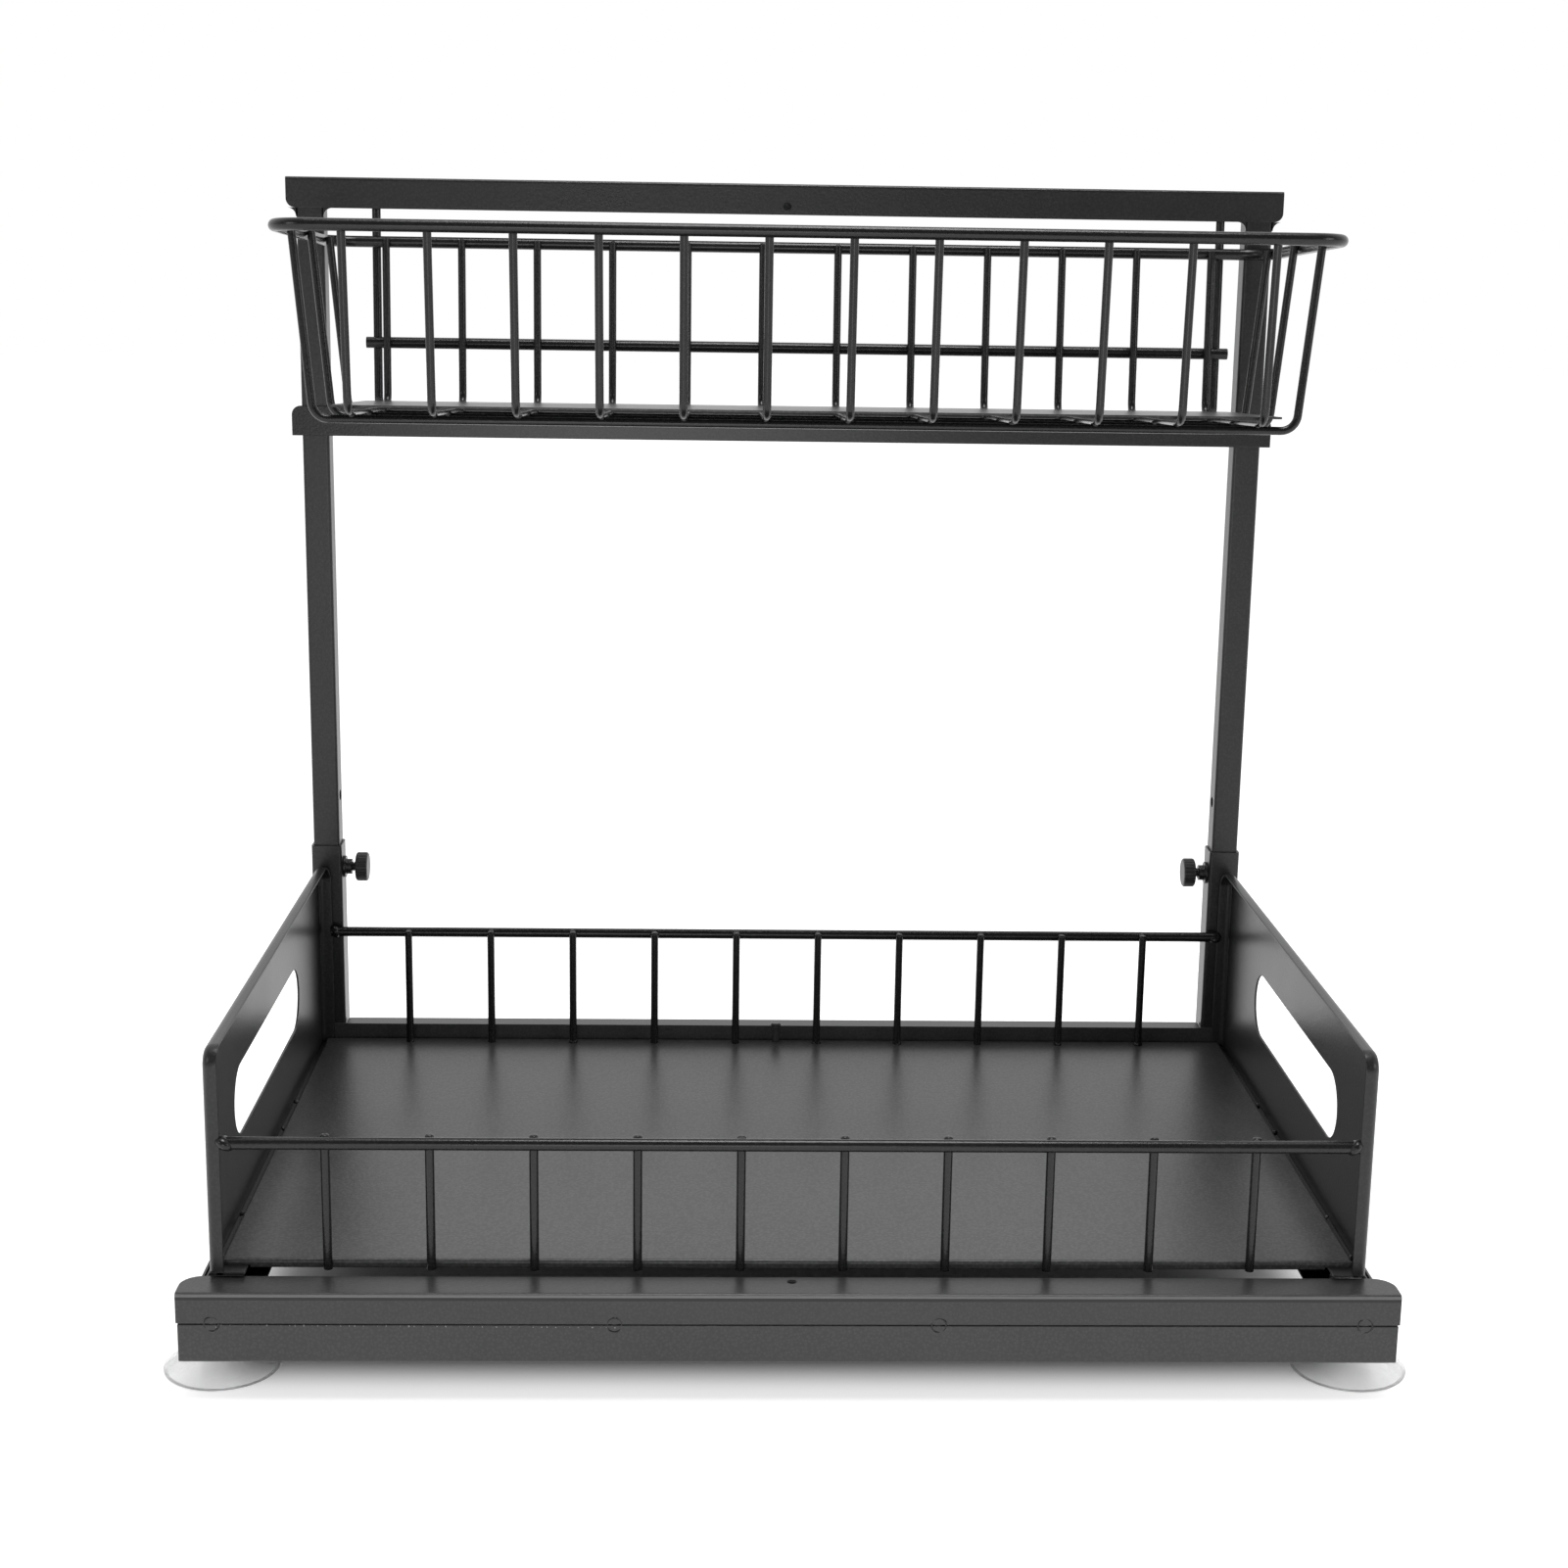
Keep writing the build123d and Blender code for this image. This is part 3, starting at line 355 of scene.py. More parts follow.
def add_painted_fold_light(tree, start, top):
    """Along a folded edge at height top runs a painted highlight, and just below it a painted shadow."""
    where = add_node(tree, "ShaderNodeTexCoord", (-700, 600))
    split = add_node(tree, "ShaderNodeSeparateXYZ", (-500, 600))
    tree.links.new(where.outputs["Object"], split.inputs[0])
    previous = start
    for name, first, last, colour, share in FOLD_HIGHLIGHT_AND_SHADOW_BANDS:
        offset = add_node(tree, "ShaderNodeMath", (-300, 600), {
            1: top - (first + last) / 2, 2: (last - first) / 2}, operation="COMPARE")
        tree.links.new(split.outputs["Z"], offset.inputs[0])
        scaled = add_node(tree, "ShaderNodeMath", (-100, 600), {1: share}, operation="MULTIPLY")
        tree.links.new(offset.outputs[0], scaled.inputs[0])
        band = add_node(tree, "ShaderNodeMix", (60, 400), {"B": colour}, data_type="RGBA")
        band.name = name
        tree.links.new(scaled.outputs[0], band.inputs["Factor"])
        tree.links.new(previous.outputs["Result"], band.inputs["A"])
        previous = band


print("crease bands:", ", ".join(band[0] for band in FOLD_HIGHLIGHT_AND_SHADOW_BANDS))

# %% [markdown]
# One function makes every painted, plated or moulded finish from those two groups, because they differ
# only in colour, gloss and grain. Colour runs from a dark to a light value by cloud and speck, a painted
# highlight pulls it lighter along edges, and the pebble goes to the bump. What is the same all over is set
# on the shader.

# %% Grained finish
CLOUD_RANGE = (0.3, 0.7)
CLOUD_SHARE = (0.14, 0.36)
EDGE_HIGHLIGHT_GAIN = 2.6
ROUGH_SPREAD = 0.04


def grained_finish(name, dark, light, rough, grain_size, grain_depth, speck_size=0.0003, speck_amount=0.3,
                   edge_highlight=0.25, edge_radius=0.0005, metallic=0.0, specular=0.5, painted_fold_top=None):
    material, tree = new_material(name)
    grain = add_node(tree, "ShaderNodeGroup", (-900, 0), {
        "Grain Size": grain_size, "Speck Size": speck_size, "Speck Amount": speck_amount},
        node_tree=grain_group)
    edge_and_cloud = add_node(tree, "ShaderNodeGroup", (-900, -250), {"Edge Radius": edge_radius}, node_tree=edge_and_cloud_group)
    mix_tone = add_node(tree, "ShaderNodeMath", (-650, 150), operation="ADD", use_clamp=True)
    tree.links.new(grain.outputs["Tone"], mix_tone.inputs[0])
    spread_cloud = add_node(tree, "ShaderNodeMapRange", (-650, -50), {
        "From Min": CLOUD_RANGE[0], "From Max": CLOUD_RANGE[1],
        "To Min": CLOUD_SHARE[0], "To Max": CLOUD_SHARE[1]})
    tree.links.new(edge_and_cloud.outputs["Cloud"], spread_cloud.inputs["Value"])
    tree.links.new(spread_cloud.outputs[0], mix_tone.inputs[1])
    base = add_node(tree, "ShaderNodeMix", (-400, 150), {"A": (*dark, 1), "B": (*light, 1)}, data_type="RGBA")
    tree.links.new(mix_tone.outputs[0], base.inputs["Factor"])
    # Painted highlight: along bent edges the colour is pulled towards a lighter one.
    edge_highlight_share = add_node(tree, "ShaderNodeMath", (-400, -100), {1: edge_highlight}, operation="MULTIPLY")
    tree.links.new(edge_and_cloud.outputs["Edge"], edge_highlight_share.inputs[0])
    edge_highlight_colour = tuple(min(1, EDGE_HIGHLIGHT_GAIN * c) for c in light) + (1,)
    lit = add_node(tree, "ShaderNodeMix", (-180, 150), {"B": edge_highlight_colour}, data_type="RGBA")
    tree.links.new(edge_highlight_share.outputs[0], lit.inputs["Factor"])
    tree.links.new(base.outputs["Result"], lit.inputs["A"])
    if painted_fold_top is not None:
        add_painted_fold_light(tree, lit, painted_fold_top)
    rough_map = add_node(tree, "ShaderNodeMapRange", (-400, -300), {
        "To Min": rough - ROUGH_SPREAD, "To Max": rough + ROUGH_SPREAD})
    tree.links.new(edge_and_cloud.outputs["Cloud"], rough_map.inputs["Value"])
    bump = add_node(tree, "ShaderNodeBump", (-180, -300), {"Strength": 1.0, "Distance": grain_depth})
    tree.links.new(grain.outputs["Height"], bump.inputs["Height"])
    tree.links.new(edge_and_cloud.outputs["Rounded Normal"], bump.inputs["Normal"])
    shader = add_node(tree, "ShaderNodeBsdfPrincipled", (80, 0), {
        "Metallic": metallic, "Specular IOR Level": specular})
    # The last colour node is the painted fold shadow when the finish has one.
    last_colour = tree.nodes.get("painted_fold_shadow", lit)
    tree.links.new(last_colour.outputs["Result"], shader.inputs["Base Color"])
    tree.links.new(rough_map.outputs[0], shader.inputs["Roughness"])
    tree.links.new(bump.outputs[0], shader.inputs["Normal"])
    output = add_node(tree, "ShaderNodeOutputMaterial", (350, 0))
    tree.links.new(shader.outputs[0], output.inputs["Surface"])
    print("finish", name)
    return material


# %% [markdown]
# All the metal wears the same powder coat. Sheet, tray floor, uprights and wire each have a copy of it
# with its own gloss and its own darkness, and that darkness is painted light and shade: each copy is set
# lighter or darker for the light its part gets. The pairs of colours are the dark and the light end of each
# finish. Bright zinc, black zinc, nylon and moulded plastic finish the small parts.

# %% Finishes
GRAIN = 0.0009
PEBBLE = 0.00004
COAT_EDGE = 0.00035
# Painted light and shade: each coat's darker or lighter base colour stands for the light its part gets.
sheet_coat = grained_finish(
    "sheet_powder_coat", (0.02, 0.02, 0.0205), (0.075, 0.075, 0.0765),
    rough=0.34, grain_size=GRAIN, grain_depth=PEBBLE,
    speck_size=0.0011, speck_amount=0.4, edge_radius=COAT_EDGE, edge_highlight=0.55)
# The rail's coat carries the painted highlight and shadow along its top fold.
rail_coat = grained_finish(
    "front_rail_powder_coat", (0.02, 0.02, 0.0205), (0.07, 0.07, 0.0715),
    rough=0.34, grain_size=GRAIN, grain_depth=PEBBLE,
    speck_size=0.0011, speck_amount=0.35, edge_radius=COAT_EDGE, edge_highlight=0.55,
    painted_fold_top=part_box("front_rail_upper")[1][2])
floor_coat = grained_finish(
    "tray_floor_powder_coat", (0.022, 0.022, 0.0225), (0.09, 0.09, 0.092),
    rough=0.32, grain_size=GRAIN, grain_depth=PEBBLE,
    specular=0.45, speck_size=0.0012, speck_amount=0.6, edge_radius=COAT_EDGE, edge_highlight=0.05)
upper_coat = grained_finish(
    "upright_powder_coat", (0.01, 0.01, 0.0105), (0.036, 0.036, 0.037),
    rough=0.32, grain_size=GRAIN, grain_depth=PEBBLE,
    specular=0.4, speck_size=0.0011, speck_amount=0.45, edge_radius=COAT_EDGE, edge_highlight=0.4)
wire_coat = grained_finish(
    "wire_powder_coat", (0.006, 0.006, 0.0064), (0.024, 0.024, 0.025),
    rough=0.24, grain_size=GRAIN, grain_depth=0.00003,
    specular=0.38, speck_size=0.001, speck_amount=0.45, edge_radius=0.0003, edge_highlight=0.1)
zinc = grained_finish(
    "bright_zinc", (0.42, 0.43, 0.44), (0.6, 0.6, 0.61),
    rough=0.3, grain_size=0.0004, grain_depth=0.000008,
    metallic=1.0, speck_amount=0.15)
black_zinc = grained_finish(
    "black_zinc", (0.03, 0.03, 0.032), (0.07, 0.07, 0.073),
    rough=0.34, grain_size=0.0004, grain_depth=0.00001, metallic=0.7)
nylon = grained_finish(
    "roller_nylon", (0.68, 0.68, 0.65), (0.8, 0.8, 0.77),
    rough=0.42, grain_size=0.0005, grain_depth=0.00001,
    speck_amount=0.1, edge_highlight=0.0)
knob_plastic = grained_finish(
    "knob_plastic", (0.014, 0.014, 0.015), (0.034, 0.034, 0.035),
    rough=0.38, grain_size=0.0003, grain_depth=0.00002, edge_radius=0.0004)
bare_speck = grained_finish(
    "bare_powder_speck", (0.3, 0.3, 0.3), (0.5, 0.5, 0.49),
    rough=0.4, grain_size=0.0003, grain_depth=0.00001)

# %% [markdown]
# The suction cups are pale, slightly cloudy soft vinyl. Light goes in and comes out again, so they look
# brighter at the thin lip than at the thick neck. A plastic that lets most of the light through, under a
# thin smooth coat, gives this without a full glass.

# %% Vinyl for the cups
VINYL_GRAIN = 0.004
VINYL_RIPPLE = 0.00008
VINYL_DULL = (0.82, 0.825, 0.83, 1)
VINYL_CLEAR = (0.93, 0.93, 0.935, 1)


def vinyl_finish(name):
    material, tree = new_material(name)
    grain = add_node(tree, "ShaderNodeGroup", (-700, 0), {"Grain Size": VINYL_GRAIN}, node_tree=grain_group)
    base = add_node(tree, "ShaderNodeMix", (-400, 100), {"A": VINYL_DULL, "B": VINYL_CLEAR}, data_type="RGBA")
    tree.links.new(grain.outputs["Height"], base.inputs["Factor"])
    bump = add_node(tree, "ShaderNodeBump", (-200, -200), {"Distance": VINYL_RIPPLE})
    tree.links.new(grain.outputs["Height"], bump.inputs["Height"])
    shader = add_node(tree, "ShaderNodeBsdfPrincipled", (0, 0), {
        "Roughness": 0.1, "IOR": 1.45, "Transmission Weight": 0.85, "Coat Weight": 0.3})
    tree.links.new(base.outputs["Result"], shader.inputs["Base Color"])
    tree.links.new(bump.outputs[0], shader.inputs["Normal"])
    output = add_node(tree, "ShaderNodeOutputMaterial", (300, 0))
    tree.links.new(shader.outputs[0], output.inputs["Surface"])
    print("finish", name)
    return material


vinyl = vinyl_finish("cloudy_vinyl")

# %% [markdown]
# Each piece of the frame now gets its finish by a word in its name, because a name such as
# front_fence_wires says what the piece is. The first word that fits wins, which is why plug stands before
# upright, and all the plain sheet that is left takes the sheet coat.

# %% Give every node its finish
# shelf_bar takes the darker wire coat as painted shade.
finish_words = (("suction_cup", vinyl), ("roller", nylon), ("axle", zinc), ("rivet_nut", black_zinc),
                ("screw", black_zinc), ("knob", knob_plastic), ("plug", knob_plastic),
                ("tray_floor", floor_coat), ("plate", floor_coat), ("fence", wire_coat), ("wire", wire_coat),
                ("rim", wire_coat), ("hanger", wire_coat), ("upright", upper_coat), ("top_bar", upper_coat),
                ("shelf_bar", wire_coat), ("sleeve", upper_coat), ("front_rail_upper", rail_coat))
for name, node in nodes.items():
    finish = next((material for word, material in finish_words if word in name), sheet_coat)
    node.data.materials.clear()
    node.data.materials.append(finish)
print("finished", len(nodes), "nodes")

# %% [markdown]
# Wherever two wires cross, or a wire meets a rod, a spot weld has squeezed out a little collar of
# metal, and the powder runs over it as a soft lump. The lumps are all alike and there are more than a
# hundred of them, so they are instances of one small sphere on a cloud of points, made by Geometry
# Nodes. Each lump gets its own turn and size from a fixed seed, so that no two look stamped.

# %% Weld lump tree
LUMP_SEED = 7


def geometry_tree(name, inputs):
    tree = bpy.data.node_groups.new(name, "GeometryNodeTree")
    group_socket(tree, "Geometry", "NodeSocketGeometry")
    for socket_name, kind, start in inputs:
        group_socket(tree, socket_name, kind, value=start)
    group_socket(tree, "Geometry", "NodeSocketGeometry", output=True)
    return tree


lump_tree = geometry_tree("weld_lumps", (
    ("Lump Radius", "NodeSocketFloat", 0.0018), ("Flatness", "NodeSocketFloat", 0.75),
    ("Smallest", "NodeSocketFloat", 0.85), ("Largest", "NodeSocketFloat", 1.15),
    ("Seed", "NodeSocketInt", LUMP_SEED), ("Finish", "NodeSocketMaterial", None)))
entry = add_node(lump_tree, "NodeGroupInput", (-900, 0))
leave = add_node(lump_tree, "NodeGroupOutput", (900, 0))
lump = add_node(lump_tree, "GeometryNodeMeshIcoSphere", (-600, -200), {"Subdivisions": 2})
squeeze = add_node(lump_tree, "ShaderNodeCombineXYZ", (-600, -400), {"X": 1.0, "Y": 1.0})
squashed = add_node(lump_tree, "GeometryNodeTransform", (-350, -200))
whole_turn = add_node(lump_tree, "FunctionNodeRandomValue", (-350, -450), {
    "Max": (math.tau, math.tau, math.tau)}, data_type="FLOAT_VECTOR")
own_size = add_node(lump_tree, "FunctionNodeRandomValue", (-350, -650), data_type="FLOAT")
on_points = add_node(lump_tree, "GeometryNodeInstanceOnPoints", (0, 0))
real = add_node(lump_tree, "GeometryNodeRealizeInstances", (250, 0))
smooth = add_node(lump_tree, "GeometryNodeSetShadeSmooth", (420, 0))
coated = add_node(lump_tree, "GeometryNodeSetMaterial", (600, 0))
link = lump_tree.links.new
link(entry.outputs["Geometry"], on_points.inputs["Points"])
link(entry.outputs["Lump Radius"], lump.inputs["Radius"])
link(entry.outputs["Flatness"], squeeze.inputs["Z"])
link(lump.outputs["Mesh"], squashed.inputs["Geometry"])
link(squeeze.outputs[0], squashed.inputs["Scale"])
link(squashed.outputs["Geometry"], on_points.inputs["Instance"])
link(entry.outputs["Seed"], whole_turn.inputs["Seed"])
link(entry.outputs["Seed"], own_size.inputs["Seed"])
scalar = [s for s in own_size.inputs if s.type == "VALUE"]
link(entry.outputs["Smallest"], scalar[0])
link(entry.outputs["Largest"], scalar[1])
link(whole_turn.outputs[0], on_points.inputs["Rotation"])
link(next(s for s in own_size.outputs if s.type == "VALUE" and s.enabled), on_points.inputs["Scale"])
link(on_points.outputs["Instances"], real.inputs["Geometry"])
link(real.outputs["Geometry"], smooth.inputs["Geometry"])
link(smooth.outputs["Geometry"], coated.inputs["Geometry"])
link(entry.outputs["Finish"], coated.inputs["Material"])
link(coated.outputs["Geometry"], leave.inputs["Geometry"])
print("tree", lump_tree.name, "has", len(lump_tree.nodes), "nodes")

# %% [markdown]
# A tree makes nothing until it runs on an object. So the places go into a mesh of bare points, the tree
# runs on it once, and the plain mesh that comes out takes the points' place. The inputs are set before
# that run, each by its socket's identifier, and the piece is then given its body.

# %% Run the tree on a set of points


def keep_evaluated(made):
    """Replaces an object's mesh by what its modifiers make of it, and drops them."""
    bpy.context.view_layer.update()
    made.data = bpy.data.meshes.new_from_object(made.evaluated_get(bpy.context.evaluated_depsgraph_get()))
    made.modifiers.clear()


def lumps_at(name, points, body, values):
    mesh = bpy.data.meshes.new(name)
    mesh.from_pydata([tuple(p) for p in points], [], [])
    made = placed(name, mesh)
    modifier = made.modifiers.new("grow", "NODES")
    modifier.node_group = lump_tree
    for item in lump_tree.interface.items_tree:
        if item.item_type == "SOCKET" and item.in_out == "INPUT" and item.name in values:
            modifier[item.identifier] = values[item.name]
    keep_evaluated(made)
    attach(made, body)
    print(name, "has", len(made.data.polygons), "faces")


# %% [markdown]
# The places of the welds come from the frame itself. Each upright wire of a fence crosses its rod at a
# point that the wire's own middle gives, so the nodes' meshes are split into their separate wires and
# measured, and no table of places is needed.

# %% Measure the wires
SAME_PLACE = 0.000001


def separate_solids(name):
    """The separate solids in a node, each as its lowest corner, its highest corner and all its points."""
    shell = bmesh.new()
    shell.from_mesh(nodes[name].data)
    bmesh.ops.remove_doubles(shell, verts=shell.verts, dist=SAME_PLACE)
    left = dict.fromkeys(shell.verts)
    boxes = []
    while left:
        stack = [left.popitem()[0]]
        spread_out = []
        while stack:
            vert = stack.pop()
            spread_out.append(vert.co.copy())
            for joined in vert.link_edges:
                other = joined.other_vert(vert)
                if other in left:
                    del left[other]
                    stack.append(other)
        low = Vector([min(p[axis] for p in spread_out) for axis in range(3)])
        high = Vector([max(p[axis] for p in spread_out) for axis in range(3)])
        boxes.append((low, high, spread_out))
    shell.free()
    return sorted(boxes, key=lambda each: (round(each[0].x, 4), round(each[0].y, 4)))


def box_middle(name):
    low, high = (Vector(corner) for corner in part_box(name))
    return (low + high) / 2


front_wires = separate_solids("front_fence_wires")
rear_wires = separate_solids("rear_fence_wires")
long_wires = separate_solids("basket_long_wires")
cross_wires = separate_solids("basket_cross_wires")
print(len(front_wires), len(rear_wires), "fence wires,", len(long_wires), len(cross_wires), "basket wires")

# %% [markdown]
# On the fences each wire touches its rod from one side. The lump sits in the seam between the two, half
# way between their middles, and on the rear fence, whose feet show, one more holds each wire's foot to
# the tray floor. The rod's ends get a bigger lump where they run into the side panels.

# %% Fence welds
LUMP_ON_WIRE = 0.00185
LUMP_ON_ROD_END = 0.0034
ROD_END_SHARE = 0.992

fence_points, end_points = [], []
for wires, rod_name in ((front_wires, "front_fence_rail"), (rear_wires, "rear_fence_rail")):
    rod = box_middle(rod_name)
    for low, high, _ in wires:
        wire = (low + high) / 2
        fence_points.append((wire.x, (wire.y + rod.y) / 2, rod.z))
        if rod_name.startswith("rear"):
            fence_points.append((wire.x, wire.y, low.z))
    for end_x in (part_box(rod_name)[0][0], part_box(rod_name)[1][0]):
        end_points.append((end_x * ROD_END_SHARE, rod.y, rod.z))
lumps_at("fence_welds", fence_points, "tray", {"Lump Radius": LUMP_ON_WIRE, "Finish": wire_coat})
lumps_at("fence_end_welds", end_points, "tray", {
    "Lump Radius": LUMP_ON_ROD_END, "Flatness": 0.6, "Finish": wire_coat})

# %% [markdown]
# On the basket a lump sits wherever two wires rest on each other: the long wires on the cross wires,
# both kinds just below the rim, and the middle wire against the long wires and the hangers. The nodes
# are swept wires, so the middle of a stretch is found by averaging its vertices.

# %% Basket welds
NEAR = 0.004
BASKET_LUMP = 0.00155
WIRE_RADIUS = 0.0015
RIM_RADIUS = 0.0022
BELOW_RIM = 0.001
MID_WIRE_SEAM = 0.0018


def mean_place(vertices):
    return sum(vertices, Vector()) / len(vertices)


basket_points = []
rim_low, rim_high = (Vector(corner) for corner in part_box("basket_rim"))
mid_wire_middle = box_middle("mid_wire")
for low, high, vertices in long_wires:
    x = (low.x + high.x) / 2
    tops = [v for v in vertices if v.z > high.z - 2 * NEAR]
    for is_front in (True, False):
        place = mean_place([v for v in tops if (v.y < (low.y + high.y) / 2) == is_front])
        rim_y = rim_low.y + RIM_RADIUS if is_front else rim_high.y - RIM_RADIUS
        basket_points.append((x, (place.y + rim_y) / 2, place.z - BELOW_RIM))
    basket_points.append((x, mid_wire_middle.y - MID_WIRE_SEAM, mid_wire_middle.z))
for low, high, vertices in cross_wires:
    run = mean_place([v for v in vertices if v.z < low.z + 2 * WIRE_RADIUS])
    for other_low, other_high, _ in long_wires:
        basket_points.append(((other_low.x + other_high.x) / 2, run.y, low.z + 2 * WIRE_RADIUS))
    for is_left in (True, False):
        end = [v for v in vertices if v.z > high.z - NEAR and (v.x < 0) == is_left]
        if end:
            basket_points.append(mean_place(end) - Vector((0, 0, WIRE_RADIUS)))
for name in ("hanger_left", "hanger_right"):
    basket_points.append((box_middle(name).x, mid_wire_middle.y, mid_wire_middle.z))
lumps_at("basket_welds", basket_points, "basket", {
    "Lump Radius": BASKET_LUMP, "Seed": LUMP_SEED + 1, "Finish": wire_coat})

# %% [markdown]
# The side panels are pressed from one sheet, and their narrow rim runs round the corners without a
# break. That soft roll catches a thin line of light all along, which a sharp box edge can't. So the
# panel is swept: the section of the rolled rim is carried along the panel's outline, the flat web is
# filled in between with its hand slot, and the slot's own edge is rounded over half the sheet.

# %% Outline and rim of a side panel
SHEET = 0.0008
ROLL_RADIUS = 0.0028
CORNER_RADIUS = 0.0065
RIM_WIDTH = 0.005
REAR_RIM_WIDTH = 0.006
ROLL_STEPS = 7
CORNER_STEPS = 10
TIP_STEPS = 4


def panel_outline(low, high):
    """Points of the panel's outline from its front foot over the top to its rear foot, each with the
    direction that points out of the panel and the width of the rim there."""
    front, back_y, bottom, top = low.y, high.y, low.z, high.z
    points = [(front, bottom, math.pi, RIM_WIDTH)]
    for step in range(CORNER_STEPS + 1):
        turned = math.pi - math.pi / 2 * step / CORNER_STEPS
        points.append((front + CORNER_RADIUS + CORNER_RADIUS * math.cos(turned),
                       top - CORNER_RADIUS + CORNER_RADIUS * math.sin(turned), turned, RIM_WIDTH))
    for step in range(CORNER_STEPS + 1):
        share = step / CORNER_STEPS
        turned = math.pi / 2 * (1 - share)
        points.append((back_y - CORNER_RADIUS + CORNER_RADIUS * math.cos(turned),
                       top - CORNER_RADIUS + CORNER_RADIUS * math.sin(turned), turned,
                       RIM_WIDTH + (REAR_RIM_WIDTH - RIM_WIDTH) * share))
    points.append((back_y, bottom, 0.0, REAR_RIM_WIDTH))
    return points


def rim_section(width):
    """The rolled rim's section as (inwards from the outline, inwards from the outer face)."""
    section = []
    for step in range(ROLL_STEPS + 1):
        turned = math.pi / 2 * step / ROLL_STEPS
        section.append((ROLL_RADIUS * (1 - math.sin(turned)), ROLL_RADIUS * (1 - math.cos(turned))))
    tip = SHEET / 2
    for step in range(TIP_STEPS + 1):
        turned = math.pi * step / TIP_STEPS
        section.append((tip - tip * math.cos(turned), width - tip + tip * math.sin(turned)))
    inner = ROLL_RADIUS - SHEET
    for step in range(ROLL_STEPS, -1, -1):
        turned = math.pi / 2 * step / ROLL_STEPS
        section.append((ROLL_RADIUS - inner * math.sin(turned), ROLL_RADIUS - inner * math.cos(turned)))
    return section


print("rim section of", len(rim_section(RIM_WIDTH)), "points")

# %% [markdown]
# The hand slot is a straight slot with round ends, punched through the web. Its outline is asked for
# with an allowance, because the eased edge is the same outline drawn a little larger at both faces.

# %% Outline of the hand slot
SLOT_STEPS = 24
EASING_STEPS = 6
SLOT_LENGTH, SLOT_HEIGHT = 0.133, 0.0245
SLOT_FROM_FRONT, SLOT_ABOVE_FOOT = 0.1145, 0.0396


def slot_outline(centre_y, centre_z, grow_by):
    radius = SLOT_HEIGHT / 2 + grow_by
    reach = (SLOT_LENGTH - SLOT_HEIGHT) / 2
    points = []
    for end, start in ((1, -math.pi / 2), (-1, math.pi / 2)):
        for step in range(SLOT_STEPS + 1):
            turned = start + math.pi * step / SLOT_STEPS
            points.append((centre_y + end * reach + radius * math.cos(turned),
                           centre_z + radius * math.sin(turned)))
    return points


print("slot outline of", len(slot_outline(0, 0, 0)), "points")

# %% [markdown]
# Three helpers turn outlines into sheet: one skins a row of rings, one fills the flat face between the
# rim and the slot, and one adds the foot, a strip with eased edges that lies on the tray floor. A fourth
# closes any such shell as a smooth mesh that stays sharp where two faces meet at a steep angle.

# %% Skin, web and foot
FOOT_WIDTH = 0.0114
FOOT_INSET = ROLL_RADIUS / 4
FOOT_EASING_SHARE = 0.3


def join_rings(shell, rings, closed):
    for ring, following in zip(rings, rings[1:]):
        for index in range(len(ring) if closed else len(ring) - 1):
            after = (index + 1) % len(ring)
            shell.faces.new((ring[index], ring[after], following[after], following[index]))


def fill_web(shell, border, slot):
    edges = []
    for chain in (border, slot):
        for index in range(len(chain)):
            pair = (chain[index], chain[(index + 1) % len(chain)])
            edges.append(shell.edges.get(pair) or shell.edges.new(pair))
    bmesh.ops.triangle_fill(shell, edges=edges, use_beauty=True, use_dissolve=False)


def add_foot(shell, side, outer, low, high):
    foot = bmesh.ops.create_cube(shell, size=1.0)["verts"]
    foot_low = Vector((outer - FOOT_WIDTH, low.y, low.z))
    foot_high = Vector((outer - FOOT_INSET, high.y, low.z + SHEET))
    for vert in foot:
        vert.co = Vector([foot_low[i] + (vert.co[i] + 0.5) * (foot_high[i] - foot_low[i]) for i in range(3)])
        vert.co.x *= side
    foot_edges = list(dict.fromkeys(edge for vert in foot for edge in vert.link_edges))
    bmesh.ops.bevel(shell, geom=foot_edges, offset=SHEET * FOOT_EASING_SHARE, segments=2, affect="EDGES")


def smooth_mesh(name, shell, finish, sharp_angle):
    bmesh.ops.recalc_face_normals(shell, faces=shell.faces)
    mesh = bpy.data.meshes.new(name)
    shell.to_mesh(mesh)
    shell.free()
    mesh.materials.append(finish)
    mesh.shade_smooth()
    mesh.set_sharp_from_angle(angle=math.radians(sharp_angle))
    return mesh


print("foot strip", FOOT_WIDTH, "m wide")

# %% [markdown]
# Now a panel is put together in the box that the frame gives for it. Both panels are the same code, with
# the depth counted inwards from the outer face, so the left one mirrors the right one. Weighted normals
# keep the flat web flat in the shading, right up to the roll.

# %% Side panels
PANEL_SHARP_ANGLE = 50


